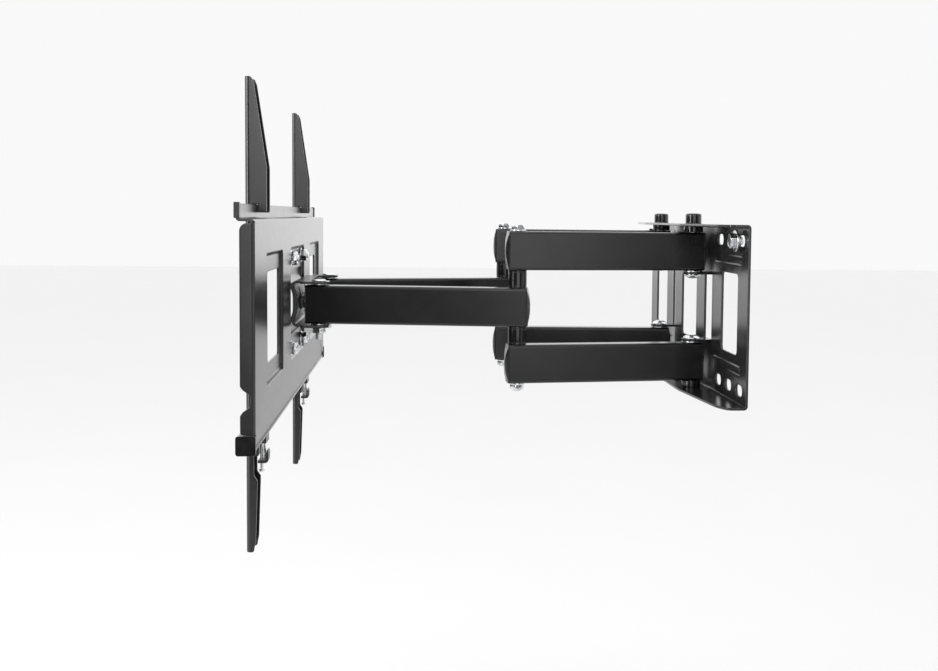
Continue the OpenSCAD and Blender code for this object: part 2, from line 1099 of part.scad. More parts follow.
module lock_guide(x) {
  color(plastic)
    head_frame()
      translate([x, 0, 0])
        difference() {
          along_x(bracket_w - 2 * bracket_t - 0.02)
            polygon([[-bracket_depth + bracket_t, -131], [-42.4, -131], [-42.4, -119],
              [-35, -119], [-35, tv_bottom - 2.5], [-44, tv_bottom - 2.5],
              [-bracket_depth + bracket_t, -114]]);
          translate([0, lock_pin_y, -140])
            cylinder(r = 1.5 + run_gap, h = 60);
          translate([0, lock_rod_y, -140])
            cylinder(r = 1.1 + run_gap, h = 60);
        }
}

// Hooked pull handle below the guide
module lock_handle(x) {
  color(plastic)
    head_frame()
      translate([x, 0, 0])
        difference() {
          along_x(12)
            polygon([[-43.4, -138.6], [-36, -138.6], [-34.4, -137.6], [-33.6, -135.5],
              [-33.6, -129], [-34.4, -126], [-35.2, -126.4], [-35.8, -129], [-35.8, -135],
              [-36.6, -136], [-43.4, -136]]);
          translate([0, lock_pin_y, -150])
            cylinder(r = 1.5 + 0.02, h = 30);
          translate([0, lock_rod_y, -150])
            cylinder(r = 1.1 + 0.02, h = 30);
        }
}

// Catch pin with its small pull head, and the thinner guide rod
module lock_pins(x) {
  color(zinc)
    head_frame()
      translate([x, 0, 0]) {
        translate([0, lock_pin_y, -145.2])
          cylinder(r = 1.5, h = 145.2 - 99.5);
        translate([0, lock_pin_y, -147.4])
          rotate_extrude()
            polygon([[0, 0], [2.4, 0], [2.9, 0.6], [2.9, 1.7], [2.4, 2.3], [0, 2.3]]);
        translate([0, lock_rod_y, -138.6])
          cylinder(r = 1.1, h = 28.6);
      }
}

module near_bracket() {
  bracket(near_bracket_x);
}

module near_lock_guide() {
  lock_guide(near_bracket_x);
}

module near_lock_handle() {
  lock_handle(near_bracket_x);
}

module near_lock_pins() {
  lock_pins(near_bracket_x);
}

module far_bracket() {
  bracket(far_bracket_x);
}

module far_lock_guide() {
  lock_guide(far_bracket_x);
}

module far_lock_handle() {
  lock_handle(far_bracket_x);
}

module far_lock_pins() {
  lock_pins(far_bracket_x);
}

wall_plate();
wall_pivot_bolts();
wall_pivot_nuts();
wall_bolt_caps();
wall_spacers();
wall_washers();
lag_screws();
lag_washers();
near_upper_tube();
near_lower_tube();
near_inner_bushes();
near_elbow_sleeves();
near_inner_caps();
near_elbow_bolt();
near_elbow_nut();
near_elbow_washers();
near_elbow_spacers();
near_outer_tube();
near_outer_bushes();
near_outer_caps();
far_upper_tube();
far_lower_tube();
far_inner_bushes();
far_elbow_sleeves();
far_inner_caps();
far_elbow_bolt();
far_elbow_nut();
far_elbow_washers();
far_elbow_spacers();
far_outer_tube();
far_outer_bushes();
far_outer_caps();
head_bracket();
head_bolts();
head_nuts();
head_washers();
tv_plate();
tilt_saddle();
tilt_studs();
tilt_clamp();
tilt_nuts();
saddle_bolts();
saddle_nuts();
saddle_washers();
rail_end_caps();
lip_stops();
near_bracket();
near_lock_guide();
near_lock_handle();
near_lock_pins();
far_bracket();
far_lock_guide();
far_lock_handle();
far_lock_pins();
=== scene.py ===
"""Full motion TV wall mount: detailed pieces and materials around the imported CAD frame."""
import json
import math
import bisect

import bpy
import bmesh
import numpy as np
from mathutils import Matrix, Vector
from mathutils.geometry import delaunay_2d_cdt


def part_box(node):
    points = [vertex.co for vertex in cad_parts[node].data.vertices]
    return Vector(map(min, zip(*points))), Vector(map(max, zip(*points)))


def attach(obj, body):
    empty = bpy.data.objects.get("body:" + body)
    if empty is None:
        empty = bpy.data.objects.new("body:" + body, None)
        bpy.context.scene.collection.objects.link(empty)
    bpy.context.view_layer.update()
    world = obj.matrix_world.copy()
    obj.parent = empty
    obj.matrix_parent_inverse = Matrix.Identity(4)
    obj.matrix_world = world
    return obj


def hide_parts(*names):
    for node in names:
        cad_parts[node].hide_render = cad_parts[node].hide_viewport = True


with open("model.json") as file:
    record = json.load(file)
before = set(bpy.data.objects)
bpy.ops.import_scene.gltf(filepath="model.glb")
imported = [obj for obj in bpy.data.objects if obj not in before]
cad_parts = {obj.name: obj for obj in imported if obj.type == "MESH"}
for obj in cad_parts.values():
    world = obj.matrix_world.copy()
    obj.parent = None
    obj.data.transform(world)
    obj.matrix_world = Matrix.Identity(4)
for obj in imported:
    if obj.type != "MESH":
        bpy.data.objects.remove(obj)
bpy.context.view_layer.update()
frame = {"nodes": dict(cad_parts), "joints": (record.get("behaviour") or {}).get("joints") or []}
MM = 0.001
scene = bpy.context.scene

# ---------------- frame data

joint_at = {j["name"]: j["pos_m"] for j in frame["joints"] if "pos_m" in j}


def pivot(name):
    """(x, y) of an upright pivot axis in millimetres."""
    return Vector((joint_at[name][0] / MM, joint_at[name][1] / MM))


def span(node):
    """Lowest and highest corner of a CAD node in millimetres."""
    lo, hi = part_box(node)
    return lo / MM, hi / MM


NEAR_WALL, NEAR_ELBOW, NEAR_HEAD = pivot("near_wall_pivot"), pivot("near_elbow"), pivot("near_head_pivot")
HEAD_X, HEAD_Y = NEAR_HEAD
WALL_X, WALL_Y = NEAR_WALL
OUT_TOP = span("near_outer_tube")[1].z
IN_LOW, IN_TOP = span("near_upper_tube")[0].z, span("near_upper_tube")[1].z
WALL_TOP = span("wall_plate")[1].z
PLATE_OUT = span("head_bracket")[1].z
TV_LO, TV_HI = span("tv_plate")
AXIS_Y = joint_at["tilt"][1] / MM
SHEET = 2.5
MID_T = SHEET / 2
BOLT_R = 4.0
# Radii of the holes the bolts pass through, and the play between turning parts
SNUG_R, FREE_R, EASY_R = BOLT_R + 0.05, BOLT_R + 0.2, BOLT_R + 0.3
GAP = 0.4

# ---------------- materials


class Nodes:
    """Short helper for building a shader."""

    def __init__(self, name):
        self.mat = bpy.data.materials.new(name)
        self.mat.use_nodes = True
        self.tree = self.mat.node_tree
        self.bsdf = next(n for n in self.tree.nodes if n.type == "BSDF_PRINCIPLED")
        self.coords = self.add("ShaderNodeTexCoord").outputs["Object"]

    def add(self, kind, **inputs):
        node = self.tree.nodes.new(kind)
        for key, value in inputs.items():
            node.inputs[key.replace("_", " ")].default_value = value
        return node

    def link(self, a, b):
        self.tree.links.new(a, b)

    def noise(self, scale, detail=3.0, rough=0.55, stretch=None):
        node = self.add("ShaderNodeTexNoise", Scale=scale, Detail=detail, Roughness=rough)
        source = self.coords
        if stretch:
            mapping = self.add("ShaderNodeMapping")
            mapping.inputs["Scale"].default_value = stretch
            self.link(source, mapping.inputs["Vector"])
            source = mapping.outputs["Vector"]
        self.link(source, node.inputs["Vector"])
        return node.outputs["Fac"]

    def ranged(self, value, low, high, start=0.35, stop=0.65):
        node = self.add("ShaderNodeMapRange")
        node.inputs["From Min"].default_value = start
        node.inputs["From Max"].default_value = stop
        node.inputs["To Min"].default_value = low
        node.inputs["To Max"].default_value = high
        self.link(value, node.inputs["Value"])
        return node.outputs["Result"]

    def mix(self, factor, a, b):
        node = self.add("ShaderNodeMix")
        node.data_type = "RGBA"
        self.link(factor, node.inputs["Factor"])
        for socket, value in (("A", a), ("B", b)):
            target = next(i for i in node.inputs if i.name == socket and i.type == "RGBA")
            if hasattr(value, "links"):
                self.link(value, target)
            else:
                target.default_value = (*value, 1.0)
        return next(o for o in node.outputs if o.type == "RGBA")

    def bump(self, layers):
        """Chained bumps from (height, strength, distance) layers."""
        last = None
        for height, strength, distance in layers:
            node = self.add("ShaderNodeBump", Strength=strength, Distance=distance)
            self.link(height, node.inputs["Height"])
            if last:
                self.link(last, node.inputs["Normal"])
            last = node.outputs["Normal"]
        self.link(last, self.bsdf.inputs["Normal"])


def powder_coat(name, dark, light, rough, peel=0.03):
    """Satin black powder coat: orange peel, faint cloudiness, sparse dust."""
    m = Nodes(name)
    cloud = m.noise(38.0, 4.0, 0.6)
    base = m.mix(m.ranged(cloud, 0.0, 1.0), dark, light)
    specks = m.ranged(m.noise(1500.0, 1.0, 0.4), 0.0, 0.2, 0.74, 0.80)
    m.link(m.mix(specks, base, (0.11, 0.11, 0.112)), m.bsdf.inputs["Base Color"])
    m.link(m.ranged(m.noise(95.0, 3.0), *rough, 0.3, 0.7), m.bsdf.inputs["Roughness"])
    m.bsdf.inputs["IOR"].default_value = 1.5
    m.bump([(m.noise(620.0, 2.0, 0.5), peel, 0.00025),
            (m.noise(2600.0, 1.0, 0.5), peel * 0.5, 0.00008)])
    return m.mat


def zinc_plate(name, rough, stretch=None):
    """Bright zinc-plated steel with faint handling marks."""
    m = Nodes(name)
    blotch = m.noise(260.0, 4.0, 0.6)
    tint = m.mix(m.ranged(blotch, 0.0, 1.0), (0.56, 0.57, 0.59), (0.80, 0.81, 0.82))
    m.link(tint, m.bsdf.inputs["Base Color"])
    m.link(m.ranged(m.noise(420.0, 3.0, 0.6, stretch), *rough), m.bsdf.inputs["Roughness"])
    m.bsdf.inputs["Metallic"].default_value = 1.0
    m.bump([(m.noise(1400.0, 2.0, 0.6, stretch), 0.10, 0.00006)])
    return m.mat


def moulded_plastic(name, rough, tone=1.0):
    """Glossy black injection-moulded plastic."""
    m = Nodes(name)
    dark = tuple(c * tone for c in (0.0045, 0.0045, 0.0048))
    light = tuple(c * tone for c in (0.0090, 0.0090, 0.0095))
    m.link(m.mix(m.ranged(m.noise(70.0, 3.0), 0.0, 1.0), dark, light), m.bsdf.inputs["Base Color"])
    m.link(m.ranged(m.noise(160.0, 4.0, 0.65), *rough), m.bsdf.inputs["Roughness"])
    m.bsdf.inputs["IOR"].default_value = 1.5
    m.bump([(m.noise(240.0, 2.0, 0.5), 0.05, 0.0002), (m.noise(1800.0, 1.0, 0.5), 0.05, 0.00005)])
    return m.mat


PAINT = powder_coat("black_powder_coat", (0.0040, 0.0040, 0.0043), (0.0075, 0.0075, 0.0080), (0.25, 0.27))
# The rim coats are lighter copies of the face coats: a painted highlight on the rounded sheet edges.
PAINT_EDGE_HIGHLIGHT = powder_coat("black_powder_edge_painted_highlight", (0.010, 0.010, 0.0105), (0.020, 0.020, 0.021),
                         (0.20, 0.25), 0.02)
# Same black powder coat as PAINT with a lower roughness. Its slightly lighter base paints in the sheen of the
# plates' grazing reflection.
PRESSED_SHEEN = powder_coat("black_powder_pressed_painted_sheen", (0.0055, 0.0055, 0.0058), (0.0110, 0.0110, 0.0115),
                      (0.225, 0.245), 0.02)
# Lighter copy of the pressed coat for the rims: a painted edge highlight.
PRESSED_EDGE_HIGHLIGHT = powder_coat("black_powder_pressed_edge_painted_highlight", (0.012, 0.012, 0.0125), (0.024, 0.024, 0.025),
                           (0.20, 0.25), 0.02)
ZINC = zinc_plate("zinc_plate", (0.16, 0.30))
ZINC_THREAD = zinc_plate("zinc_thread", (0.24, 0.40), (1.0, 1.0, 6.0))
PLASTIC = moulded_plastic("gloss_black_plastic", (0.10, 0.18))
PLASTIC_SATIN = moulded_plastic("satin_black_plastic", (0.24, 0.36), 1.3)

# ---------------- mesh tools


class Geo:
    """Vertices in millimetres, faces, and each face's material index."""

    def __init__(self):
        self.verts, self.faces, self.mats = [], [], []

    def add(self, part, matrix=None, mat=0):
        verts, faces = part[0], part[1]
        mats = part[2] if len(part) > 2 else [mat] * len(faces)
        start = len(self.verts)
        for v in verts:
            v = Vector(v)
            self.verts.append(matrix @ v if matrix else v)
        self.faces += [tuple(i + start for i in f) for f in faces]
        self.mats += mats
        return self


def piece(node, finish, geo, materials, body):
    """Detailed piece that replaces a CAD node: welded, normals outside, smooth with weighted normals."""
    name = f"{node}_{finish}"
    mesh = bpy.data.meshes.new(name)
    mesh.from_pydata([v * MM for v in geo.verts], [], geo.faces)
    for m in materials:
        mesh.materials.append(m)
    mesh.polygons.foreach_set("material_index", geo.mats)
    bm = bmesh.new()
    bm.from_mesh(mesh)
    bmesh.ops.remove_doubles(bm, verts=bm.verts, dist=1e-6)
    bmesh.ops.dissolve_degenerate(bm, edges=bm.edges, dist=1e-7)
    bmesh.ops.recalc_face_normals(bm, faces=bm.faces)
    bm.to_mesh(mesh)
    bm.free()
    mesh.polygons.foreach_set("use_smooth", [True] * len(mesh.polygons))
    obj = bpy.data.objects.new(name, mesh)
    scene.collection.objects.link(obj)
    weighted = obj.modifiers.new("weighted", "WEIGHTED_NORMAL")
    weighted.weight = 100
    weighted.keep_sharp = False
    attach(obj, body)
    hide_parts(node)


def plated(node, geo, body, *materials):
    piece(node, "plated", geo, materials or [ZINC], body)


def plastic(node, finish, geo, body, material):
    piece(node, finish, geo, [material], body)


def painted(node, finish, geo, body, *materials):
    piece(node, finish, geo, materials, body)


def at(x, y, z):
    return Matrix.Translation((x, y, z))


def turned(axis, degrees):
    return Matrix.Rotation(math.radians(degrees), 4, axis)


FLIP_Z = Matrix.Scale(-1, 4, (0, 0, 1))
TOP_AND_BOTTOM = (Matrix.Identity(4), FLIP_Z)
SIDES = (-1, 1)


def on_circle(r, i, n):
    """Point i of n round a circle about the origin."""
    turn = 2 * math.pi * i / n
    return r * math.cos(turn), r * math.sin(turn)


def rings(rows, closed):
    """Skin over rows of equal rings. closed joins the last row to the first; else both ends are fanned."""
    n = len(rows[0])
    verts = [p for row in rows for p in row]
    faces = []
    count = len(rows)
    for k in range(count if closed else count - 1):
        a, b = k * n, ((k + 1) % count) * n
        for i in range(n):
            j = (i + 1) % n
            faces.append((a + i, a + j, b + j, b + i))
    if not closed:
        for row, order in ((0, 1), (count - 1, -1)):
            centre = sum((Vector(p) for p in rows[row]), Vector()) / n
            verts.append(tuple(centre))
            c = len(verts) - 1
            for i in range(n):
                j = (i + 1) % n
                faces.append((c, row * n + j, row * n + i)[::order])
    return verts, faces


def lathe(profile, n=64, closed=False):
    """Solid of revolution about Z from (radius, z) points; closed makes a ring with a bore."""
    return rings([[(*on_circle(r, i, n), z) for i in range(n)] for r, z in profile], closed)


def washer(r_out, r_in, z0, z1, e=0.25):
    """Ring with broken edges: washers, bushes and sleeves."""
    return lathe([(r_in, z0 + e), (r_in + e, z0), (r_out - e, z0), (r_out, z0 + e),
                  (r_out, z1 - e), (r_out - e, z1), (r_in + e, z1), (r_in, z1 - e)], 72, True)


def collar(r_out, r_in, z0, z1, e):
    """Plastic spacer with rims rounded by e and, if tall, a shallow moulded groove at each end."""
    groove_r = r_out - 0.18
    rim = [(r_in, z0 + 0.2), (r_in + 0.2, z0), (r_out - e, z0),
           (r_out - e * 0.3, z0 + e * 0.3), (r_out, z0 + e)]
    if z1 - z0 >= 8:
        rim += [(r_out, z0 + 1.6), (groove_r, z0 + 1.8), (groove_r, z0 + 2.3), (r_out, z0 + 2.5)]
    return lathe(rim + [(r, z0 + z1 - z) for r, z in reversed(rim)], 72, True)


def hexagon(h, bore=None, cup=0.0, n=72):
    """Hexagon head (or nut with a bore) on z = 0, with the turned chamfer of a real one."""
    across_flats = 13.0
    r_flat = across_flats / 2 * 0.965

    def radius(i):
        a = (2 * math.pi * i / n) % (math.pi / 3) - math.pi / 6
        return across_flats / 2 / math.cos(a)

    def row(r, z):
        """Ring of points; r and z are numbers or functions of the point's index."""
        value = lambda v, i: v(i) if callable(v) else v
        return [(*on_circle(value(r, i), i, n), value(z, i)) for i in range(n)]

    slope = math.tan(math.radians(30))
    side = lambda i: radius(i) * 0.999
    drop = lambda i: (radius(i) - r_flat) * slope + 0.12
    if bore:
        foot = [(r_flat, 0.0), (side, drop)]
        inner = [(bore + 0.9, h), (bore, h - 0.8), (bore, 0.8), (bore + 0.9, 0.0)]
    else:
        foot = [(lambda i: radius(i) - 0.2, 0.0), (side, 0.2)]
        inner = [(r_flat - 0.8, h), (r_flat - 1.3, h - cup), (1.0, h - cup)]
    outer = [(side, h / 2), (side, lambda i: h - drop(i)), (r_flat, h)]
    return rings([row(r, z) for r, z in foot + outer + inner], bool(bore))


def thread(r, z0, z1, plain):
    """Bolt shank from z1 down to z0: a plain length, then a rolled thread with a chamfered tip."""
    pitch, depth, n, rows_per_turn = 1.25, 0.55, 36, 4
    top = z1 - plain
    rows = [[(*on_circle(r, i, n), z) for i in range(n)] for z in (z1, top)]
    steps = int((top - z0) / pitch * rows_per_turn)
    for k in range(1, steps + 1):
        row = []
        for i in range(n):
            z = top - k * pitch / rows_per_turn - pitch * i / n
            z = max(z0 + 0.001 * (steps - k), min(top, z))
            phase = ((top - z) / pitch + i / n) % 1.0
            groove = 0.5 - 0.5 * math.cos(2 * math.pi * phase)
            fade = max(0.0, min(1.0, top - z))
            tip = max(0.0, 1.0 - (z - z0)) * 0.9
            row.append((*on_circle(r - depth * groove * fade - tip * 0.6, i, n), z))
        rows.append(row)
    rows.append([(*on_circle(r - 1.0, i, n), z0) for i in range(n)])
    return rings(rows, False)


def arc(cx, cy, r, a0, a1, steps):
    angles = [math.radians(a0 + (a1 - a0) * k / steps) for k in range(steps + 1)]
    return [(cx + r * math.cos(a), cy + r * math.sin(a)) for a in angles]


def rounded(x0, x1, y0, y1, r, steps=8):
    """Rectangle with rounded corners."""
    return (arc(x1 - r, y0 + r, r, -90, 0, steps) + arc(x1 - r, y1 - r, r, 0, 90, steps)
            + arc(x0 + r, y1 - r, r, 90, 180, steps) + arc(x0 + r, y0 + r, r, 180, 270, steps))


def circle(cx, cy, r, n=32):
    return [(cx + x, cy + y) for x, y in (on_circle(r, i, n) for i in range(n))]


def fillet(points, radii, steps=6):
    """Closed polygon with each corner rounded by its radius."""
    out = []
    n = len(points)
    for i in range(n):
        p, q, s = Vector(points[i - 1]), Vector(points[i]), Vector(points[(i + 1) % n])
        r = radii[i]
        a, b = (p - q), (s - q)
        la, lb = a.length, b.length
        if r <= 0 or la < 1e-6 or lb < 1e-6:
            out.append(tuple(q))
            continue
        a, b = a / la, b / lb
        half = math.acos(max(-1, min(1, a.dot(b)))) / 2
        if half > math.radians(88):
            out.append(tuple(q))
            continue
        t = min(r / math.tan(half), la * 0.49, lb * 0.49)
        r = t * math.tan(half)
        c = q + (a + b).normalized() * (r / math.sin(half))
        s0, s1 = q + a * t, q + b * t
        a0 = math.atan2(s0.y - c.y, s0.x - c.x)
        a1 = math.atan2(s1.y - c.y, s1.x - c.x)
        d = (a1 - a0 + math.pi) % (2 * math.pi) - math.pi
        angles = [a0 + d * k / steps for k in range(steps + 1)]
        out += [(c.x + r * math.cos(a), c.y + r * math.sin(a)) for a in angles]
    return out


def tidy_loop(loop, tol=1e-4):
    """Loop without repeated points."""
    out = []
    for p in loop:
        if not out or (Vector(p) - Vector(out[-1])).length > tol:
            out.append(tuple(p))
    while len(out) > 1 and (Vector(out[0]) - Vector(out[-1])).length <= tol:
        out.pop()
    return out


def area(loop):
    return sum(a[0] * b[1] - b[0] * a[1] for a, b in zip(loop, loop[1:] + loop[:1])) / 2


def offset_loop(loop, d):
    """Loop moved outwards by d (inwards if negative)."""
    loop = tidy_loop(loop)
    s = 1 if area(loop) > 0 else -1
    out = []
    n = len(loop)
    for i in range(n):
        p, q, r = Vector(loop[i - 1]), Vector(loop[i]), Vector(loop[(i + 1) % n])
        e0, e1 = (q - p).normalized(), (r - q).normalized()
        n0, n1 = Vector((e0.y, -e0.x)) * s, Vector((e1.y, -e1.x)) * s
        m = (n0 + n1)
        m = m / max(0.35, m.length_squared / 2)
        out.append(tuple(q + m * d))
    return out


def inside(points, loop):
    """Which of the points lie inside the loop."""
    x, y = points[:, 0], points[:, 1]
    result = np.zeros(len(points), bool)
    for (x0, y0), (x1, y1) in zip(loop, loop[1:] + loop[:1]):
        if y0 == y1:
            continue
        crosses = (y0 > y) != (y1 > y)
        result ^= crosses & (x < (x1 - x0) * (y - y0) / (y1 - y0) + x0)
    return result


def distance(points, loop):
    """Distance of each point to the loop, negative inside."""
    best = np.full(len(points), 1e9)
    for a, b in zip(loop, loop[1:] + loop[:1]):
        a, b = np.array(a), np.array(b)
        d = b - a
        t = np.clip(((points - a) @ d) / max(d @ d, 1e-12), 0, 1)
        best = np.minimum(best, np.linalg.norm(points - a - t[:, None] * d, axis=1))
    return np.where(inside(points, loop), -best, best)


def sheet(outline, holes, mapping, thickness, edge=0.35, lines=(), loops=(), edge_mat=1, margin=1.0):
    """Solid sheet with rounded edges. mapping turns (n, 2) points into middle-surface points and normals.
    lines and loops are extra creases that give curved regions their vertices."""
    steps = 2
    outline, holes = tidy_loop(outline), [tidy_loop(h) for h in holes]
    rim = [offset_loop(outline, -edge)] + [offset_loop(h, edge) for h in holes]
    verts, edges = [], []
    # A guard loop beside every edge keeps the shading of large flat areas even
    guard = []
    if margin:
        guard = [offset_loop(outline, -edge - margin)] + [offset_loop(h, edge + margin) for h in holes]
    for loop in rim + guard + [tidy_loop(x) for x in loops]:
        k = len(verts)
        verts += [Vector(p) for p in loop]
        edges += [(k + i, k + (i + 1) % len(loop)) for i in range(len(loop))]
    for line in lines:
        k = len(verts)
        verts += [Vector(p) for p in line]
        edges += [(k + i, k + i + 1) for i in range(len(line) - 1)]
    flat, _, tris, _, _, _ = delaunay_2d_cdt(verts, edges, [], 0, 1e-5)
    p = np.array([(v.x, v.y) for v in flat])
    tris = np.array([t for t in tris], int)
    centres = p[tris].mean(axis=1)
    keep = inside(centres, rim[0])
    for h in rim[1:]:
        keep &= ~inside(centres, h)
    a, b, c = (p[tris[:, k]] for k in range(3))
    doubled = (b - a)[:, 0] * (c - a)[:, 1] - (b - a)[:, 1] * (c - a)[:, 0]
    keep &= np.abs(doubled) > 1e-7
    tris = tris[keep]
    directed = {}
    for t, size in zip(tris, doubled[keep]):
        t = [int(i) for i in t][::-1 if size < 0 else 1]
        for i in range(3):
            directed[(t[i], t[(i + 1) % 3])] = t
    border = [e for e in directed if (e[1], e[0]) not in directed]
    normal = {}
    for i, j in border:
        d = p[j] - p[i]
        n = np.array([d[1], -d[0]]) / max(np.linalg.norm(d), 1e-9)
        for k in (i, j):
            normal.setdefault(k, []).append(n)
    used = sorted(set(int(i) for t in tris for i in t))
    index = {i: k for k, i in enumerate(used)}
    half = thickness / 2
    mid, nrm = mapping(p[used])
    out = [tuple(v) for v in mid + nrm * half] + [tuple(v) for v in mid - nrm * half]
    m = len(used)
    turned_up = {tuple(t) for t in directed.values()}
    faces = [tuple(index[i] for i in t) for t in turned_up]
    faces += [tuple(index[i] + m for i in reversed(t)) for t in turned_up]
    mats = [0] * len(faces)
    rim_ids = sorted(normal)
    shift = {}
    for i in rim_ids:
        n = sum(normal[i]) / len(normal[i])
        shift[i] = n / max(0.35, n @ n)
    angles = [math.pi / 2 * k / steps for k in range(1, steps + 1)]
    front = [(1, edge * math.sin(a), half - edge + edge * math.cos(a)) for a in angles]
    ring = {i: [index[i]] for i in rim_ids}
    for side, d, h in front + [(-1, d, h) for _, d, h in reversed(front)]:
        pts = np.array([p[i] + shift[i] * d for i in rim_ids])
        mid, nrm = mapping(pts)
        pos = mid + nrm * (side * h)
        for i, q in zip(rim_ids, pos):
            ring[i].append(len(out))
            out.append(tuple(q))
    for i in rim_ids:
        ring[i].append(index[i] + m)
    # Rim faces take edge_mat, which for most sheets is the lighter coat that paints a highlight on the edges.
    for i, j in border:
        for k in range(len(ring[i]) - 1):
            faces.append((ring[j][k], ring[i][k], ring[i][k + 1], ring[j][k + 1]))
            mats.append(edge_mat)
    return out, faces, mats


def flat_map(origin, u, v, n):
    """Mapping onto a plane: origin + u * first + v * second, with normal n."""
    origin, u, v, n = (np.array(x, float) for x in (origin, u, v, n))
    return lambda p: (origin + p[:, :1] * u + p[:, 1:2] * v, np.tile(n, (len(p), 1)))


def level_plate(outline, holes, z0, z1):
    """Flat plate between two heights, drawn in X and Y."""
    plane = flat_map((0, 0, (z0 + z1) / 2), (1, 0, 0), (0, 1, 0), (0, 0, 1))
    return sheet(outline, holes, plane, z1 - z0)


class Fold:
    """Middle line of a folded sheet in a plane, made of straights and arcs."""

    def __init__(self, start, heading):
        self.parts, self.ends, self.breaks, self.total = [], [], [], 0.0
        self.pos, self.head = Vector(start), math.radians(heading)

    def straight(self, length):
        self.parts.append(("line", self.total, self.pos.copy(), self.head, 0, 0))
        self.pos = self.pos + Vector((math.cos(self.head), math.sin(self.head))) * length
        self.total += length
        self.ends.append(self.total)
        return self

    def bend(self, radius, degrees, steps=8):
        s = 1 if degrees > 0 else -1
        centre = self.pos + Vector((-math.sin(self.head), math.cos(self.head))) * (radius * s)
        turn = math.radians(degrees)
        length = abs(turn) * radius
        self.parts.append(("arc", self.total, centre, self.head, radius, s))
        self.breaks += [self.total + length * k / steps for k in range(steps + 1)]
        self.head += turn
        self.pos = centre + Vector((math.sin(self.head), -math.cos(self.head))) * (radius * s)
        self.total += length
        self.ends.append(self.total)
        return self

    def run_to(self, target):
        """Straight whose end has the target's coordinate along the heading."""
        d = Vector((math.cos(self.head), math.sin(self.head)))
        return self.straight((Vector(target) - self.pos).dot(d))

    def where(self, s):
        """Points and left-hand normals for an array of lengths."""
        pts, nrm = np.zeros((len(s), 2)), np.zeros((len(s), 2))
        for k, value in enumerate(s):
            i = min(bisect.bisect_left(self.ends, value - 1e-9), len(self.parts) - 1)
            kind, s0, ref, head, radius, sign = self.parts[i]
            if kind == "line":
                d = Vector((math.cos(head), math.sin(head)))
                q = ref + d * (value - s0)
                n = Vector((-d.y, d.x))
            else:
                h = head + sign * (value - s0) / radius
                n = Vector((-math.sin(h), math.cos(h)))
                q = ref - n * (radius * sign)
            pts[k], nrm[k] = q, n
        return pts, nrm

    def creases(self, half_w, stations=None):
        """Lines across the sheet at its bends, or at the given lengths."""
        return [[(-half_w, s), (half_w, s)] for s in stations or self.breaks]

    def mapping(self, p):
        """Sheet folded in the plane of Y and Z, with Y counted from the head pivots."""
        pts, nrm = self.where(p[:, 1])
        return (np.stack([p[:, 0], pts[:, 0] + HEAD_Y, pts[:, 1]], axis=1),
                np.stack([np.zeros(len(p)), nrm[:, 0], nrm[:, 1]], axis=1))


def ramp(x):
    """Smooth 0 to 1."""
    x = np.clip(x, 0, 1)
    return x * x * (3 - 2 * x)


RAMP_STEPS = (0.0, 0.14, 0.3, 0.5, 0.7, 0.86, 1.0)

# ---------------- camera, light, floor

# Focal length, principal point and pose found from the mount's own edges, for a 938 x 671 frame
FRAME_W, FRAME_H, SENSOR_MM = 938, 671, 36.0
FOCAL_PX, CENTRE_X, CENTRE_Y = 1115.411, 540.0, 280.0
YAW, PITCH, ROLL = (math.radians(v) for v in (6.044, -3.264, 0.597))
CAMERA_AT = (1.270851, -0.314839, 0.096098)

look = Vector((-math.cos(YAW) * math.cos(PITCH), math.sin(YAW) * math.cos(PITCH), math.sin(PITCH)))
right = Vector((math.sin(YAW), math.cos(YAW), 0.0))
up = right.cross(look)
right, up = (right * math.cos(ROLL) + up * math.sin(ROLL),
             up * math.cos(ROLL) - right * math.sin(ROLL))
camera = bpy.data.objects.new("camera", bpy.data.cameras.new("camera"))
scene.collection.objects.link(camera)
camera.matrix_world = Matrix.Translation(CAMERA_AT) @ Matrix((right, up, -look)).transposed().to_4x4()
camera.data.sensor_width = SENSOR_MM
camera.data.lens = FOCAL_PX / FRAME_W * SENSOR_MM
camera.data.shift_x = (FRAME_W / 2 - CENTRE_X) / FRAME_W
camera.data.shift_y = (CENTRE_Y - FRAME_H / 2) / FRAME_W
camera.data.clip_start, camera.data.clip_end = 0.01, 60.0
scene.camera = camera
scene.view_settings.view_transform = "Standard"

world = bpy.data.worlds.new("studio")
scene.world = world
world.use_nodes = True
tree = world.node_tree
background = next(n for n in tree.nodes if n.type == "BACKGROUND")
coords = tree.nodes.new("ShaderNodeTexCoord")
split = tree.nodes.new("ShaderNodeSeparateXYZ")
# Bright behind the mount and dim on the viewer's side; the backdrop itself is an even pale grey
BACK_GLOW, FRONT_GLOW, BACKDROP = 1.6, 0.04, 0.95
glow = tree.nodes.new("ShaderNodeMapRange")
glow.interpolation_type = "SMOOTHSTEP"
GLOW_FROM, GLOW_TO = 0.25, 0.93
for key, value in (("From Min", GLOW_FROM), ("From Max", GLOW_TO),
                   ("To Min", BACK_GLOW), ("To Max", FRONT_GLOW)):
    glow.inputs[key].default_value = value
tree.links.new(coords.outputs["Generated"], split.inputs["Vector"])
tree.links.new(split.outputs["X"], glow.inputs["Value"])
path = tree.nodes.new("ShaderNodeLightPath")
pick = tree.nodes.new("ShaderNodeMix")
pick.data_type = "FLOAT"
tree.links.new(path.outputs["Is Camera Ray"], pick.inputs["Factor"])
tree.links.new(glow.outputs["Result"], pick.inputs["A"])
pick.inputs["B"].default_value = BACKDROP
tree.links.new(pick.outputs["Result"], background.inputs["Strength"])
background.inputs["Color"].default_value = (1.0, 1.0, 1.0, 1.0)


def soft_light(name, at_point, towards, size, energy):
    lamp = bpy.data.lights.new(name, "AREA")
    lamp.shape = "RECTANGLE"
    lamp.size, lamp.size_y, lamp.energy = size[0], size[1], energy
    obj = bpy.data.objects.new(name, lamp)
    scene.collection.objects.link(obj)
    obj.location = at_point
    obj.rotation_mode = "QUATERNION"
    obj.rotation_quaternion = (Vector(towards) - Vector(at_point)).to_track_quat("-Z", "Y")


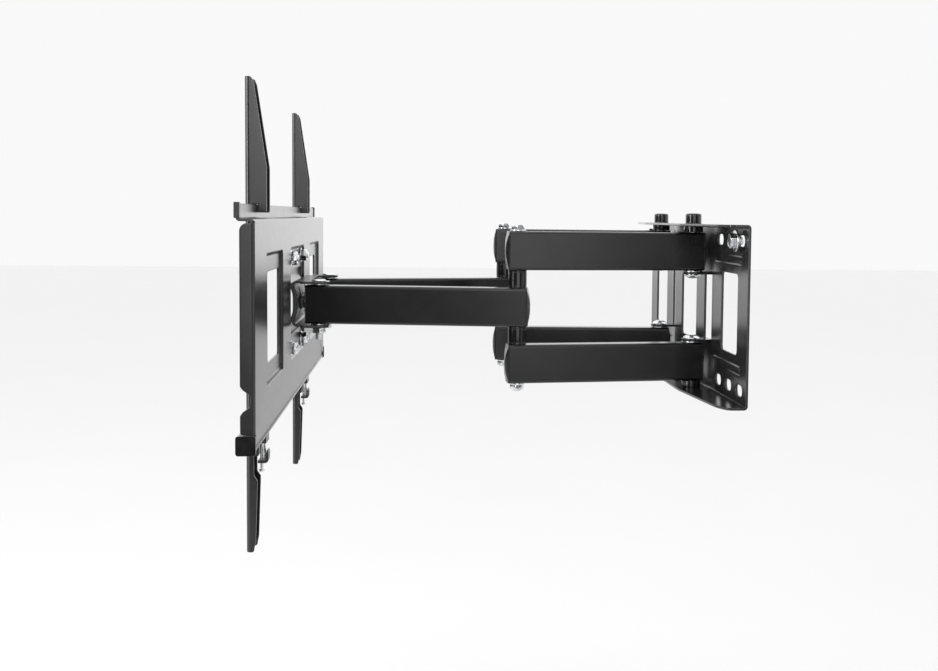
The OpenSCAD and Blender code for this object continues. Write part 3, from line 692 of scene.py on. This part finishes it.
soft_light("key_softbox", (3.4, -0.04, 0.62), (0.0, -0.25, 0.1), (2.1, 2.2), 30.0)
soft_light("high_softbox", (3.3, -0.98, 1.15), (0.0, -0.45, 0.1), (0.8, 1.7), 12.0)
soft_light("side_softbox", (1.7, -3.1, 0.45), (0.0, -0.4, 0.0), (0.9, 2.0), 62.0)
soft_light("top_softbox", (0.3, -0.6, 2.6), (0.0, -0.25, 0.0), (2.4, 2.0), 8.0)

floor_mesh = bpy.data.meshes.new("floor")
FLOOR_Z, FLOOR_R, FLOOR_FRONT, FLOOR_TONES = -0.62, 14.0, 2.0, (0.615, 0.62)
floor_mesh.from_pydata([(-FLOOR_R, -FLOOR_R, FLOOR_Z), (FLOOR_FRONT, -FLOOR_R, FLOOR_Z),
                        (FLOOR_FRONT, FLOOR_R, FLOOR_Z), (-FLOOR_R, FLOOR_R, FLOOR_Z)], [], [(0, 1, 2, 3)])
floor = bpy.data.objects.new("floor", floor_mesh)
scene.collection.objects.link(floor)
floor_mat = Nodes("pale_floor")
cloud = floor_mat.ranged(floor_mat.noise(3.0, 3.0), 0.0, 1.0)
floor_tone = floor_mat.mix(cloud, *((t, t, t) for t in FLOOR_TONES))
floor_mat.link(floor_tone, floor_mat.bsdf.inputs["Base Color"])
floor_mat.bsdf.inputs["Roughness"].default_value = 0.9
floor_mesh.materials.append(floor_mat.mat)

# ---------------- wall plate

WALL_HALF_W = span("wall_plate")[1].x
FLANGE_OUT = -span("wall_plate")[0].y
BEND_MID = 2.6
# Raised centre pad: half width, width of its slopes, height
PAD_HALF_W, PAD_RAMP, PAD_RISE = 101.0, 32.0, 3.0
# Short and long ribs: inner end, outer end, height up the plate
RIBS = ((104, 204, 52), (158, 206, 60))
RIB_HALF_H, RIB_RAMP, RIB_RISE = 2.6, 2.2, 1.2
WINDOW_HALF_H, CENTRE_WINDOW, SIDE_WINDOW = 40.5, 35, (130, 190)
SLOTS_X, SLOT_Z, SLOT_HALF_W, SLOT_HALF_H = (122, 161, 200), 74, 11.5, 5.5
TAB_HALF_W = 11
TAB_TOP = IN_LOW - GAP - 1.2
TAB_LOW = TAB_TOP - SHEET
# The pad and ribs fade out over this stretch of the flanges
FADE_FROM, FADE_OVER = 5, 9


def wall_plate():
    zf = WALL_TOP - MID_T
    fold = Fold((-FLANGE_OUT, zf), 0)
    fold.run_to((-MID_T - BEND_MID, zf)).bend(BEND_MID, -90)
    panel0 = fold.total
    fold.run_to((0, -zf + BEND_MID))
    panel1 = fold.total
    fold.bend(BEND_MID, -90).run_to((-FLANGE_OUT, -zf))
    total = fold.total
    tip = [(-WALL_HALF_W, 16), (-WALL_HALF_W + 3, 21), (-206, 27.5), (-95, FLANGE_OUT),
           (95, FLANGE_OUT), (206, 27.5), (WALL_HALF_W - 3, 21), (WALL_HALF_W, 16)]
    top = [(x, FLANGE_OUT - d) for x, d in tip]
    bottom = [(x, total - FLANGE_OUT + d) for x, d in reversed(tip)]
    outline = fillet(top + bottom, [0, 5, 60, 60, 60, 60, 5, 0] * 2)
    z_to_s = lambda z: (panel0 + panel1) / 2 - z
    in_panel = lambda loop: [(x, z_to_s(z)) for x, z in loop]
    opening = lambda x0, x1, h, r, steps=8: in_panel(rounded(*sorted((x0, x1)), -h, h, r, steps))
    holes = [opening(-CENTRE_WINDOW, CENTRE_WINDOW, WINDOW_HALF_H, 5)]
    for s in SIDES:
        holes.append(opening(*(s * x for x in SIDE_WINDOW), WINDOW_HALF_H, 5))
        holes.append(opening(s * WALL_X - TAB_HALF_W, s * WALL_X + TAB_HALF_W, TAB_LOW, 1.5, 4))
        for x in SLOTS_X:
            for z in (-SLOT_Z, SLOT_Z):
                holes.append(in_panel(rounded(s * x - SLOT_HALF_W, s * x + SLOT_HALF_W,
                                              z - SLOT_HALF_H, z + SLOT_HALF_H, SLOT_HALF_H - 0.01)))
        for sz in (FLANGE_OUT + WALL_Y, total - FLANGE_OUT - WALL_Y):
            holes.append(circle(s * WALL_X, sz, FREE_R))
    ribs = [rounded(*sorted((s * a, s * b)), z - RIB_HALF_H, z + RIB_HALF_H, 2.5, 4) for s in SIDES
            for a, b, c in RIBS for z in (-c, c)]

    def mapping(p):
        pts, nrm = fold.where(p[:, 1])
        z = np.clip(pts[:, 1], -zf, zf)
        q = np.stack([p[:, 0], z], axis=1)
        e = PAD_RISE * ramp((PAD_HALF_W - np.abs(p[:, 0])) / PAD_RAMP)
        for r in ribs:
            e = np.maximum(e, RIB_RISE * ramp(-distance(q, r) / RIB_RAMP))
        e = e * (1 - ramp((-pts[:, 0] - FADE_FROM) / FADE_OVER))
        return (np.stack([p[:, 0], pts[:, 0] - e, pts[:, 1]], axis=1),
                np.stack([np.zeros(len(p)), nrm[:, 0], nrm[:, 1]], axis=1))

    fade = [FLANGE_OUT - FADE_FROM - d for d in (0, FADE_OVER / 2 - 0.5, FADE_OVER)]
    lines = fold.creases(WALL_HALF_W) + fold.creases(WALL_HALF_W, fade + [total - f for f in fade])
    slopes = [s * (PAD_HALF_W - PAD_RAMP * k) for s in SIDES for k in RAMP_STEPS]
    lines += [[(x, 2), (x, total - 2)] for x in slopes]
    loops = [in_panel(offset_loop(r, -RIB_RAMP * k)) for r in ribs for k in (0, 0.35, 0.7, 0.98)]
    geo = Geo()
    geo.add(sheet(outline, holes, mapping, SHEET, lines=lines, loops=loops))
    # Lanced tabs that carry the middle of the pivot bolts
    for s in SIDES:
        x, y0 = s * WALL_X, -1.5
        tab = [(x - TAB_HALF_W, y0), *arc(x, WALL_Y, TAB_HALF_W, 180, 360, 24), (x + TAB_HALF_W, y0)]
        for a, b in ((TAB_LOW, TAB_TOP), (-TAB_TOP, -TAB_LOW)):
            geo.add(level_plate(tab, [circle(x, WALL_Y, FREE_R)], a, b))
    painted("wall_plate", "pressed", geo, "wall", PRESSED_SHEEN, PRESSED_EDGE_HIGHLIGHT)


wall_plate()

WALL_WASHER_R = 10.4
WALL_NUT_R, WALL_CAP_R = 8.9, 8.7


def wall_pivots():
    bolts, nuts, caps, spacers, washers = (Geo() for _ in range(5))
    # Domed lock nut under each tab, as (radius, depth below the tab)
    nut = [(BOLT_R, 0), (WALL_NUT_R - 0.3, 0), (WALL_NUT_R, 0.3), (WALL_NUT_R, 1.0), (WALL_NUT_R - 0.3, 1.4),
           (7.4, 2.6), (5.6, 3.6), (EASY_R, 4.2), (BOLT_R, 4.0)]
    # Snap cap over each upper bolt head, as (radius, height over the plate): skirt, crown, hollow
    r = WALL_CAP_R
    cap = [(7.65, 0), (r, 0), (r, 0.9), (r - 0.15, 1.1), (r - 0.15, 1.5), (r, 1.7), (r, 8.0)]
    cap += [(r - 2.2 + 2.2 * math.cos(a), 8.8 + 2.2 * math.sin(a)) for a in (0.2, 0.5, 0.8, 1.1, 1.4)]
    cap += [(5.0, 11.28), (2.5, 11.54), (0.02, 11.6), (0.02, 6.8), (7.0, 6.8), (7.65, 6.2)]
    for s in SIDES:
        axis = at(s * WALL_X, WALL_Y, 0)
        for f in TOP_AND_BOTTOM:
            m = axis @ f
            bolts.add(hexagon(6.0, cup=0.5), m @ at(0, 0, WALL_TOP))
            bolts.add(thread(BOLT_R, TAB_LOW - 4.6, WALL_TOP + 0.1, WALL_TOP - TAB_LOW - 1), m, 1)
            nuts.add(lathe([(r, TAB_LOW - z) for r, z in nut], 72, True), m)
            spacers.add(collar(WALL_WASHER_R, FREE_R, IN_TOP + GAP, WALL_TOP - SHEET, 0.7), m)
            washers.add(washer(WALL_WASHER_R, FREE_R, TAB_TOP, TAB_TOP + 1.2), m)
        caps.add(lathe([(r, WALL_TOP + z) for r, z in cap], 72, True), axis)
    plated("wall_pivot_bolts", bolts, "wall", ZINC, ZINC_THREAD)
    plated("wall_pivot_nuts", nuts, "wall")
    plastic("wall_bolt_caps", "gloss", caps, "wall", PLASTIC)
    plastic("wall_spacers", "gloss", spacers, "wall", PLASTIC)
    plated("wall_washers", washers, "wall")


wall_pivots()

LAG_X, LAG_LOOSE, LAG_WASHER_T = 196, 4.0, 2.0


def lag_screws():
    """Wall screws hanging loose in the upper slots, each with its washer against the head."""
    heads, rounds = Geo(), Geo()
    seat = SHEET + LAG_LOOSE
    for s in SIDES:
        m = at(s * LAG_X, 0, SLOT_Z) @ turned("X", 90)
        heads.add(hexagon(5.5, cup=0.4), m @ at(0, 0, seat + LAG_WASHER_T) @ turned("Z", 20 * s))
        heads.add(thread(BOLT_R, 0, seat + LAG_WASHER_T + 0.1, 3), m)
        rounds.add(washer(11.0, EASY_R, seat, seat + LAG_WASHER_T, 0.4), m)
    plated("lag_screws", heads, "wall")
    plated("lag_washers", rounds, "wall")


lag_screws()

# ---------------- arms

TUBE_HALF, TUBE_WALL, TUBE_CORNER = 10.0, 2.0, 3.0
# Tube ends past the pivots, and past the head pivots
TUBE_END, HEAD_END = 9.8, 11.5
# End caps: how far they bulge, the radius in plan, the radius from top to bottom
BULGE, BULGE_R, RISE_R = 3.8, 17.2, 57.0
BUSH_R, ELBOW_WASHER_R, ELBOW_SPACER_R = 6.0, 8.4, 9.6
# Play and wall of the bush at the far head pivot, where the arm linkage is left open
LOOP_PLAY, LOOP_WALL = 1.4, 1.4


def link_frame(a, b):
    """Local X runs from pivot a to pivot b."""
    d = b - a
    return at(a.x, a.y, 0) @ Matrix.Rotation(math.atan2(d.y, d.x), 4, "Z"), d.length


def tube(x0, x1, z_mid, half_h):
    """Rectangular tube along X with rounded corners, open inside, ends slightly broken."""
    rows, e, t = [], 0.25, TUBE_WALL
    path = [(e, x0), (0, x0 + e), (0, x1 - e), (e, x1), (t - e, x1), (t, x1 - e), (t, x0 + e), (t - e, x0)]
    for inset, x in path:
        w, h = TUBE_HALF - inset, half_h - inset
        rows.append([(x, y, z_mid + z) for y, z in rounded(-w, w, -h, h, TUBE_CORNER - inset)])
    return rings(rows, True)


def bulged_cap(half_h, z_mid):
    """Moulded end cap: pillow face and rolled rim, on a tube end facing +X at x = 0."""
    rows, lip = [], 0.9
    for inset, x in ((0.0, 0.0), (0.0, lip / 2), (0.25, lip)):
        w, h = TUBE_HALF - inset, half_h - inset
        rows.append([(x, y, z_mid + z) for y, z in rounded(-w, w, -h, h, TUBE_CORNER - inset, 6)])
    for shrink in (0.93, 0.8, 0.62, 0.42, 0.2, 0.02):
        row = []
        for y, z in rounded(-TUBE_HALF, TUBE_HALF, -half_h, half_h, TUBE_CORNER, 6):
            y, z = y * shrink, z * shrink
            plan = BULGE - BULGE_R + math.sqrt(BULGE_R ** 2 - y * y)
            rise = BULGE - RISE_R + math.sqrt(RISE_R ** 2 - z * z)
            row.append((max(lip, min(plan, rise)), y, z_mid + z))
        rows.append(row)
    return rings(rows, False)


def flat_end(half_h):
    """Flat 1.5 mm plug in a tube end facing +X at x = 0."""
    plane = flat_map((0.75, 0, 0), (0, 1, 0), (0, 0, 1), (1, 0, 0))
    outline = rounded(-TUBE_HALF, TUBE_HALF, -half_h, half_h, TUBE_CORNER)
    return sheet(outline, [], plane, 1.5, 0.5, edge_mat=0, margin=0)


def arms(side):
    s = 1 if side == "near" else -1
    wall, elbow, head = (Vector((s * v.x, v.y)) for v in (NEAR_WALL, NEAR_ELBOW, NEAR_HEAD))
    inner, inner_len = link_frame(wall, elbow)
    outer, outer_len = link_frame(elbow, head)
    half_h, mid = (IN_TOP - IN_LOW) / 2, (IN_TOP + IN_LOW) / 2
    body_in, body_out = side + "_inner", side + "_outer"
    start_cap = at(-TUBE_END, 0, 0) @ turned("Z", 180)
    elbow_end = inner_len + TUBE_END

    for name, z in (("upper", mid), ("lower", -mid)):
        geo = Geo().add(tube(-TUBE_END, elbow_end, z, half_h), inner)
        painted(f"{side}_{name}_tube", "steel", geo, body_in, PAINT)
    caps = Geo()
    for z in (mid, -mid):
        caps.add(bulged_cap(half_h, z), inner @ at(elbow_end, 0, 0))
        caps.add(bulged_cap(half_h, z), inner @ start_cap)
    plastic(side + "_inner_caps", "moulded", caps, body_in, PLASTIC_SATIN)

    geo = Geo().add(tube(-TUBE_END, outer_len + HEAD_END, 0, OUT_TOP), outer)
    painted(side + "_outer_tube", "steel", geo, body_out, PAINT)
    caps = Geo().add(bulged_cap(OUT_TOP, 0), outer @ start_cap)
    caps.add(flat_end(OUT_TOP), outer @ at(outer_len + HEAD_END, 0, 0))
    plastic(side + "_outer_caps", "moulded", caps, body_out, PLASTIC_SATIN)

    # Bushes stand a hair proud of the tube faces, so the faces never share a plane
    proud, washer_t = 0.02, 1.6
    bushes, sleeves, washers, spacers = (Geo() for _ in range(4))
    m = inner @ at(inner_len, 0, 0)
    for f in TOP_AND_BOTTOM:
        bushes.add(washer(BUSH_R, SNUG_R, IN_LOW - proud, IN_TOP + proud), inner @ f)
        sleeves.add(washer(BUSH_R, FREE_R, IN_LOW - proud, IN_TOP + proud), m @ f)
        washers.add(washer(ELBOW_WASHER_R, FREE_R, IN_TOP, IN_TOP + washer_t), m @ f)
        spacers.add(collar(ELBOW_SPACER_R, FREE_R, OUT_TOP + GAP, IN_LOW, 0.5), m @ f)
    plastic(side + "_inner_bushes", "moulded", bushes, body_in, PLASTIC)
    plated(side + "_elbow_sleeves", sleeves, body_in)
    plated(side + "_elbow_washers", washers, body_in)
    plastic(side + "_elbow_spacers", "gloss", spacers, body_in, PLASTIC)
    bolt = Geo().add(hexagon(5.3, cup=0.5), m @ at(0, 0, IN_TOP + washer_t) @ turned("Z", 14))
    bolt.add(thread(BOLT_R, -IN_TOP - 8.8, IN_TOP + washer_t + 0.1, 2 * IN_TOP + 2), m, 1)
    plated(side + "_elbow_bolt", bolt, body_in, ZINC, ZINC_THREAD)
    nut = Geo().add(hexagon(6.0, BOLT_R), m @ at(0, 0, -IN_TOP - washer_t) @ FLIP_Z @ turned("Z", 8))
    plated(side + "_elbow_nut", nut, body_in)

    bore, wide = (SNUG_R, BUSH_R) if side == "near" else (BOLT_R + LOOP_PLAY, BOLT_R + LOOP_PLAY + LOOP_WALL)
    bushes = Geo().add(washer(BUSH_R, SNUG_R, -OUT_TOP - proud, OUT_TOP + proud), outer)
    bushes.add(washer(wide, bore, -OUT_TOP - proud, OUT_TOP + proud), outer @ at(outer_len, 0, 0))
    plastic(side + "_outer_bushes", "moulded", bushes, body_out, PLASTIC)


arms("near")
arms("far")

# ---------------- swivel head

WEB_MID = 49.75
AXIS_DEPTH = HEAD_Y - AXIS_Y
# Tilt studs, and the bolts that hold the saddle to the TV plate
STUD_X, CLAMP_T = 28, 2.5
SADDLE_X, SADDLE_Z = 50, 48.5


def head():
    zp = PLATE_OUT - MID_T
    bend_z = PLATE_OUT - 5
    bend_r = 3.75
    bend_y = -AXIS_DEPTH + math.sqrt((WEB_MID + bend_r) ** 2 - bend_z ** 2)
    tilt = math.degrees(math.asin(bend_z / (WEB_MID + bend_r)))
    tip = 10.8
    fold = Fold((tip, zp), 180)
    fold.straight(tip - bend_y).bend(bend_r, 90 + tilt, 10)
    fold.bend(WEB_MID, -2 * tilt, 20).bend(bend_r, 90 + tilt, 10).straight(tip - bend_y)
    total = fold.total
    # Right half of the top plate as (x, depth from the tip)
    right_top = [(60, tip - bend_y - 1), (60, tip + 19), (74.5, tip + 19), (74.5, 0),
                 (49.5, 0), (49.5, tip + 11)]
    left_top = [(-x, y) for x, y in reversed(right_top)]
    right_low = [(x, total - y) for x, y in reversed(right_top)]
    left_low = [(-x, total - y) for x, y in right_top]
    radii = [0, 1.5, 3, 6, 6, 4]
    outline = fillet(right_top + left_top + left_low + right_low, (radii + radii[::-1]) * 2)
    holes = []
    slot_low, slot_high = (total / 2 + k * math.asin(16 / WEB_MID) * WEB_MID for k in SIDES)
    for s in SIDES:
        for y in (tip, total - tip):
            holes.append(circle(s * HEAD_X, y, FREE_R, 36))
        holes.append(rounded(s * STUD_X - 4.5, s * STUD_X + 4.5, slot_low, slot_high, 4.4))
    geo = Geo().add(sheet(outline, holes, fold.mapping, SHEET, lines=fold.creases(60.5)))
    painted("head_bracket", "folded", geo, "head", PAINT, PAINT_EDGE_HIGHLIGHT)

    bolts, nuts, washers = Geo(), Geo(), Geo()
    # Low round bolt head with a recess, as (radius, height)
    low_head = [(7.5, 0), (7.5, 0.7), (7.2, 1.2), (6.0, 1.65), (4.0, 1.8), (2.4, 1.8), (2.2, 0.9)]
    for s in SIDES:
        m = at(s * HEAD_X, HEAD_Y, 0)
        bolts.add(lathe([(r, PLATE_OUT + z) for r, z in low_head]), m)
        bolts.add(thread(BOLT_R, -38, PLATE_OUT + 0.1, 2 * PLATE_OUT - 1), m, 1)
        nuts.add(hexagon(6.5, BOLT_R), m @ at(0, 0, -PLATE_OUT) @ FLIP_Z @ turned("Z", 10))
        for f in TOP_AND_BOTTOM:
            washers.add(washer(8.6, FREE_R, PLATE_OUT - SHEET - 1.2, PLATE_OUT - SHEET), m @ f)
    plated("head_bolts", bolts, "head", ZINC, ZINC_THREAD)
    plated("head_nuts", nuts, "head")
    plated("head_washers", washers, "head")


head()

# ---------------- TV plate and tilt saddle

# Depths from the head pivots: back of the plate, back of the rails, back of the recesses
REAR, RAIL, FLOOR_Y = -29.0, -44.5, -32.0
TV_HALF_W = 325.0
TV_TOP, TV_BOTTOM = 92.0, -105.5
# Folded ends of the plate: lowest and highest point
FLANGE_LOW, FLANGE_TOP = -90.0, 88.0
RECESS_HALF_H, RECESS_RAMP, RECESS_DEPTH = 61, 4.2, 3.0
CENTRE_RECESS, SIDE_RECESS, TV_WINDOW, TV_WINDOW_HALF_H = 68, (132, 254), (140, 226), 42.5
CENTRE_OPENING = (63, 35)
# Slots for the catch pins in the bottom rail: ends, and depths of their long edges
PIN_SLOT, PIN_SLOT_Y = (59, 311), (-43, -38)


def tv_plate():
    r, r_low = 2.35, 1.7
    top_z, low_z, mid_y, lip_y = TV_TOP - MID_T, TV_BOTTOM + MID_T, REAR - MID_T, RAIL + MID_T
    fold = Fold((lip_y, -91.0), -90)
    fold.run_to((0, low_z + r_low)).bend(r_low, 90).run_to((mid_y - r_low, 0)).bend(r_low, 90)
    panel0, z0 = fold.total, low_z + r_low
    fold.run_to((0, top_z - r))
    panel1 = fold.total
    fold.bend(r, 90).run_to((lip_y + r, 0)).bend(r, -90).run_to((0, TV_HI.z))
    total = fold.total
    z_to_s = lambda z: panel0 + z - z0
    y_to_s = lambda y: fold.ends[1] + (y - (lip_y + r_low))
    in_panel = lambda loop: [(x, z_to_s(z)) for x, z in loop]
    # Across the plate, u follows the sheet round the folded ends, which start at ub
    ub = TV_HALF_W - MID_T - r
    arc_len = r * math.pi / 2
    tip_u = ub + arc_len + (mid_y - r) - (RAIL + 3)
    w, root, foot, head = TV_HALF_W, ub - 0.5, z_to_s(FLANGE_LOW), z_to_s(FLANGE_TOP)
    # Right side from the bottom up, as (u, s, corner radius), with the notch in the folded end
    side = [(w, 0, 1.0), (w, foot - 6.0, 1.0), (root, foot - 6.0, 1.0), (root, foot, 1.0), (tip_u, foot, 3.0)]
    side += [(tip_u - d, z_to_s(z), c) for d, z, c in (
        (0, -73.4, 2.0), (2.5, -70.0, 3.0), (8.4, -66.0, 3.5),
        (8.4, -56.0, 3.5), (2.5, -52.0, 3.0), (0, -48.6, 2.0))]
    side += [(tip_u, head, 8.0), (root, head, 0.5), (root, head + 1.2, 0.5),
             (w, head + 1.2, 0.5), (w, total, 2.0)]
    side += [(-u, v, c) for u, v, c in reversed(side)]
    outline = fillet([(u, v) for u, v, c in side], [c for u, v, c in side])
    holes = [in_panel(rounded(-CENTRE_OPENING[0], CENTRE_OPENING[0], -CENTRE_OPENING[1], CENTRE_OPENING[1], 4))]
    for s in SIDES:
        spread = lambda pair: sorted(s * x for x in pair)
        holes.append(in_panel(rounded(*spread(TV_WINDOW), -TV_WINDOW_HALF_H, TV_WINDOW_HALF_H, 5)))
        for z in (-SADDLE_Z, SADDLE_Z):
            holes.append(in_panel(circle(s * SADDLE_X, z, EASY_R)))
        holes.append(rounded(*spread(PIN_SLOT), *(y_to_s(y) for y in PIN_SLOT_Y), 2.49))
    recesses = [rounded(x0, x1, -RECESS_HALF_H, RECESS_HALF_H, 7) for x0, x1 in (
        (-CENTRE_RECESS, CENTRE_RECESS), *(sorted(s * x for x in SIDE_RECESS) for s in SIDES))]

    def mapping(p):
        pts, nrm = fold.where(p[:, 1])
        x, z = p[:, 0], pts[:, 1]
        q = np.stack([x, z], axis=1)
        in_flat = (p[:, 1] > panel0 - 1e-6) & (p[:, 1] < panel1 + 1e-6)
        e = np.zeros(len(p))
        for loop in recesses:
            e = np.maximum(e, RECESS_DEPTH * ramp(-distance(q, loop) / RECESS_RAMP))
        y = pts[:, 0] - np.where(in_flat, e, 0)
        normal = np.stack([np.zeros(len(p)), nrm[:, 0], nrm[:, 1]], axis=1)
        a = np.abs(x) - ub
        sign = np.sign(x)
        bent = in_flat & (a > 0)
        phi = np.clip(a / r, 0, math.pi / 2)
        past = np.maximum(a - arc_len, 0)
        x = np.where(bent, sign * (ub + r * np.sin(phi)), x)
        y = np.where(bent, mid_y - r * (1 - np.cos(phi)) - past, y)
        facing = np.sign(nrm[:, 0])
        normal[:, 0] = np.where(bent, sign * np.sin(phi) * facing, normal[:, 0])
        normal[:, 1] = np.where(bent, np.cos(phi) * facing, normal[:, 1])
        normal[:, 2] = np.where(bent, 0, normal[:, 2])
        return np.stack([x, y + HEAD_Y, z], axis=1), normal

    lines = fold.creases(w + 1)
    for s in SIDES:
        for k in range(9):
            u = s * (ub + arc_len * k / 8)
            lines.append([(u, foot - 1), (u, head + 1)])
    loops = [in_panel(offset_loop(loop, -RECESS_RAMP * k)) for loop in recesses for k in RAMP_STEPS]
    geo = Geo().add(sheet(outline, holes, mapping, SHEET, lines=lines, loops=loops))
    painted("tv_plate", "pressed", geo, "tv", PRESSED_SHEEN, PRESSED_EDGE_HIGHLIGHT)


tv_plate()


def tilt_sheets():
    """Saddle bolted to the TV plate, and the clamp strip outside the head's curved web."""
    t, foot_mid, foot_end, bend_r = 3.0, FLOOR_Y - SHEET - 1.5, 58.0, 3.0
    arch = WEB_MID - MID_T - GAP - t / 2
    reach = AXIS_DEPTH + foot_mid + bend_r
    bend_z = math.sqrt((arch + bend_r) ** 2 - reach ** 2)
    turn = math.degrees(math.atan2(bend_z, reach))
    fold = Fold((foot_mid, foot_end), -90).straight(foot_end - bend_z).bend(bend_r, turn, 6)
    fold.bend(arch, -2 * turn, 24).bend(bend_r, turn, 6).straight(foot_end - bend_z)
    total, foot = fold.total, foot_end - bend_z - 0.4
    half = [(62, 0), (62, foot), (50, foot), (50, total - foot), (62, total - foot), (62, total)]
    outline = fillet(half + [(-x, y) for x, y in reversed(half)], [4, 2, 1, 1, 2, 4] * 2)
    bolt_s = foot_end - SADDLE_Z
    holes = [circle(s * STUD_X, total / 2, SNUG_R) for s in SIDES]
    holes += [circle(s * SADDLE_X, y, EASY_R) for s in SIDES for y in (bolt_s, total - bolt_s)]
    saddle = Geo().add(sheet(outline, holes, fold.mapping, t, lines=fold.creases(63)))
    painted("tilt_saddle", "formed", saddle, "tv", PAINT, PAINT_EDGE_HIGHLIGHT)

    outer, strip_half = WEB_MID + MID_T + GAP + CLAMP_T / 2, 7.0
    spread = math.degrees(math.asin(strip_half / outer))
    start = (outer * math.cos(math.radians(spread)) - AXIS_DEPTH, strip_half)
    strip = Fold(start, -90 + spread).bend(outer, -2 * spread, 8)
    outline = rounded(-40, 40, 0, strip.total, 2.5)
    holes = [circle(s * STUD_X, strip.total / 2, FREE_R) for s in SIDES]
    lines = strip.creases(41, strip.breaks[1:-1])
    clamp = Geo().add(sheet(outline, holes, strip.mapping, CLAMP_T, lines=lines))
    painted("tilt_clamp", "formed", clamp, "tv", PAINT, PAINT_EDGE_HIGHLIGHT)


tilt_sheets()


def tilt_hardware():
    studs, nuts, bolts, seats, flats = (Geo() for _ in range(5))
    clamp_out = AXIS_Y + WEB_MID + MID_T + GAP + CLAMP_T
    floor_y, washer_t = HEAD_Y + FLOOR_Y, 1.6
    stud_lo, stud_hi = (v.y for v in span("tilt_studs"))
    bolt_lo, bolt_hi = (v.y for v in span("saddle_bolts"))
    inward = turned("X", -90)
    shank_r = BOLT_R - 0.02
    carriage_head = [(5.0, 0.0), (7.2, 1.0), (7.8, 1.8), (8.0, 2.4), (8.0, 3.0)]
    for s in SIDES:
        m = at(s * STUD_X, 0, 0)
        studs.add(thread(shank_r, 0, stud_hi - stud_lo, 3.0), m @ at(0, stud_hi, 0) @ inward @ FLIP_Z)
        nuts.add(hexagon(6.0, BOLT_R), m @ at(0, clamp_out, 0) @ inward @ turned("Z", 9 * s))
        for z in (-SADDLE_Z, SADDLE_Z):
            b = at(s * SADDLE_X, 0, z)
            bolts.add(lathe(carriage_head, 48), b @ at(0, bolt_lo, 0) @ inward)
            bolts.add(thread(shank_r, 0, bolt_hi - bolt_lo, 4.0), b @ at(0, bolt_hi, 0) @ inward @ FLIP_Z, 1)
            spin = turned("Z", 7 * s + z / 5)
            flats.add(hexagon(6.4, BOLT_R), b @ at(0, floor_y + washer_t, 0) @ inward @ spin)
            seats.add(washer(8.5, EASY_R, 0, washer_t), b @ at(0, floor_y, 0) @ inward)
    plated("tilt_studs", studs, "tv", ZINC_THREAD)
    plated("tilt_nuts", nuts, "tv")
    plated("saddle_bolts", bolts, "tv", ZINC, ZINC_THREAD)
    plated("saddle_nuts", flats, "tv")
    plated("saddle_washers", seats, "tv")


tilt_hardware()

# ---------------- VESA brackets

FACE = span("near_bracket")[0].y - HEAD_Y
BRACKET_T, BRACKET_BEND = 2.0, 3.4
BRACKET_HALF_W, BRACKET_TOP, BRACKET_BACK = 12.0, 222.0, -33.6
VESA_STEP, VESA_HALF_W, VESA_HALF_H = 50, 4.2, 9


def bracket(side):
    lo, hi = span(side + "_bracket")
    bx = (lo.x + hi.x) / 2
    top, back, mid, r = BRACKET_TOP, BRACKET_BACK, BRACKET_T / 2, BRACKET_BEND
    notch, lip = RAIL + SHEET + 0.6, TV_HI.z + 0.5
    fold = Fold((-BRACKET_HALF_W + mid, back), -90)
    fold.run_to((0, FACE + mid + r)).bend(r, 90)
    fold.run_to((BRACKET_HALF_W - mid - r, 0)).bend(r, 90).run_to((0, back))
    total = fold.total
    # Back edge of one web from the bottom up, as (depth, height, corner radius)
    web = [(FACE + 7, -top, 3), (-46, -top + 4, 2), (-44.8, -top + 10, 2), (-43, -157, 2), (-43, -154, 1),
           (-46.2, -149, 2), (-46.2, lip, 0.8), (notch, lip, 0.8), (notch, 97, 0.4),
           (back, 97, 2.0), (back, 139, 6), (-45, top - 6, 3), (-47, top - 1, 1.5), (-49, top, 1.5)]
    edge = [(back - y, z, c) for y, z, c in web]
    edge += [(total - u, z, c) for u, z, c in reversed(edge)]
    outline = fillet([(u, z) for u, z, c in edge], [c for u, z, c in edge])
    # VESA slots down the middle of the face, none at the centre
    holes = [rounded(total / 2 - VESA_HALF_W, total / 2 + VESA_HALF_W, k * VESA_STEP - VESA_HALF_H,
                     k * VESA_STEP + VESA_HALF_H, VESA_HALF_W - 0.01) for k in range(-4, 5) if k]

    def mapping(p):
        pts, nrm = fold.where(p[:, 0])
        return (np.stack([pts[:, 0] + bx, pts[:, 1] + HEAD_Y, p[:, 1]], axis=1),
                np.stack([nrm[:, 0], nrm[:, 1], np.zeros(len(p))], axis=1))

    lines = [[(s, -top - 1), (s, top + 1)] for s in fold.breaks]
    geo = Geo().add(sheet(outline, holes, mapping, BRACKET_T, 0.3, lines))
    painted(side + "_bracket", "folded", geo, side + "_vesa", PRESSED_SHEEN, PRESSED_EDGE_HIGHLIGHT)


bracket("near")
bracket("far")

# ---------------- CAD nodes that stay


def finish_cad(name, material, width):
    """Rounded edges and a procedural finish on a CAD node whose shape stays."""
    obj = frame["nodes"][name]
    weld = obj.modifiers.new("weld", "WELD")
    weld.merge_threshold = 1e-6
    flat = obj.modifiers.new("planar", "DECIMATE")
    flat.decimate_type = "DISSOLVE"
    flat.angle_limit = math.radians(0.6)
    bevel = obj.modifiers.new("edges", "BEVEL")
    bevel.width = width * MM
    bevel.segments = 2
    bevel.limit_method = "ANGLE"
    bevel.angle_limit = math.radians(35.0)
    bevel.harden_normals = False
    weighted = obj.modifiers.new("weighted", "WEIGHTED_NORMAL")
    weighted.weight = 100
    for slot in obj.material_slots:
        slot.material = material


finish_cad("rail_end_caps", PLASTIC, 0.5)
finish_cad("lip_stops", PLASTIC_SATIN, 0.3)
for side_name in ("near", "far"):
    finish_cad(side_name + "_lock_guide", PLASTIC_SATIN, 0.4)
    finish_cad(side_name + "_lock_handle", PLASTIC_SATIN, 0.3)
    finish_cad(side_name + "_lock_pins", ZINC, 0.15)
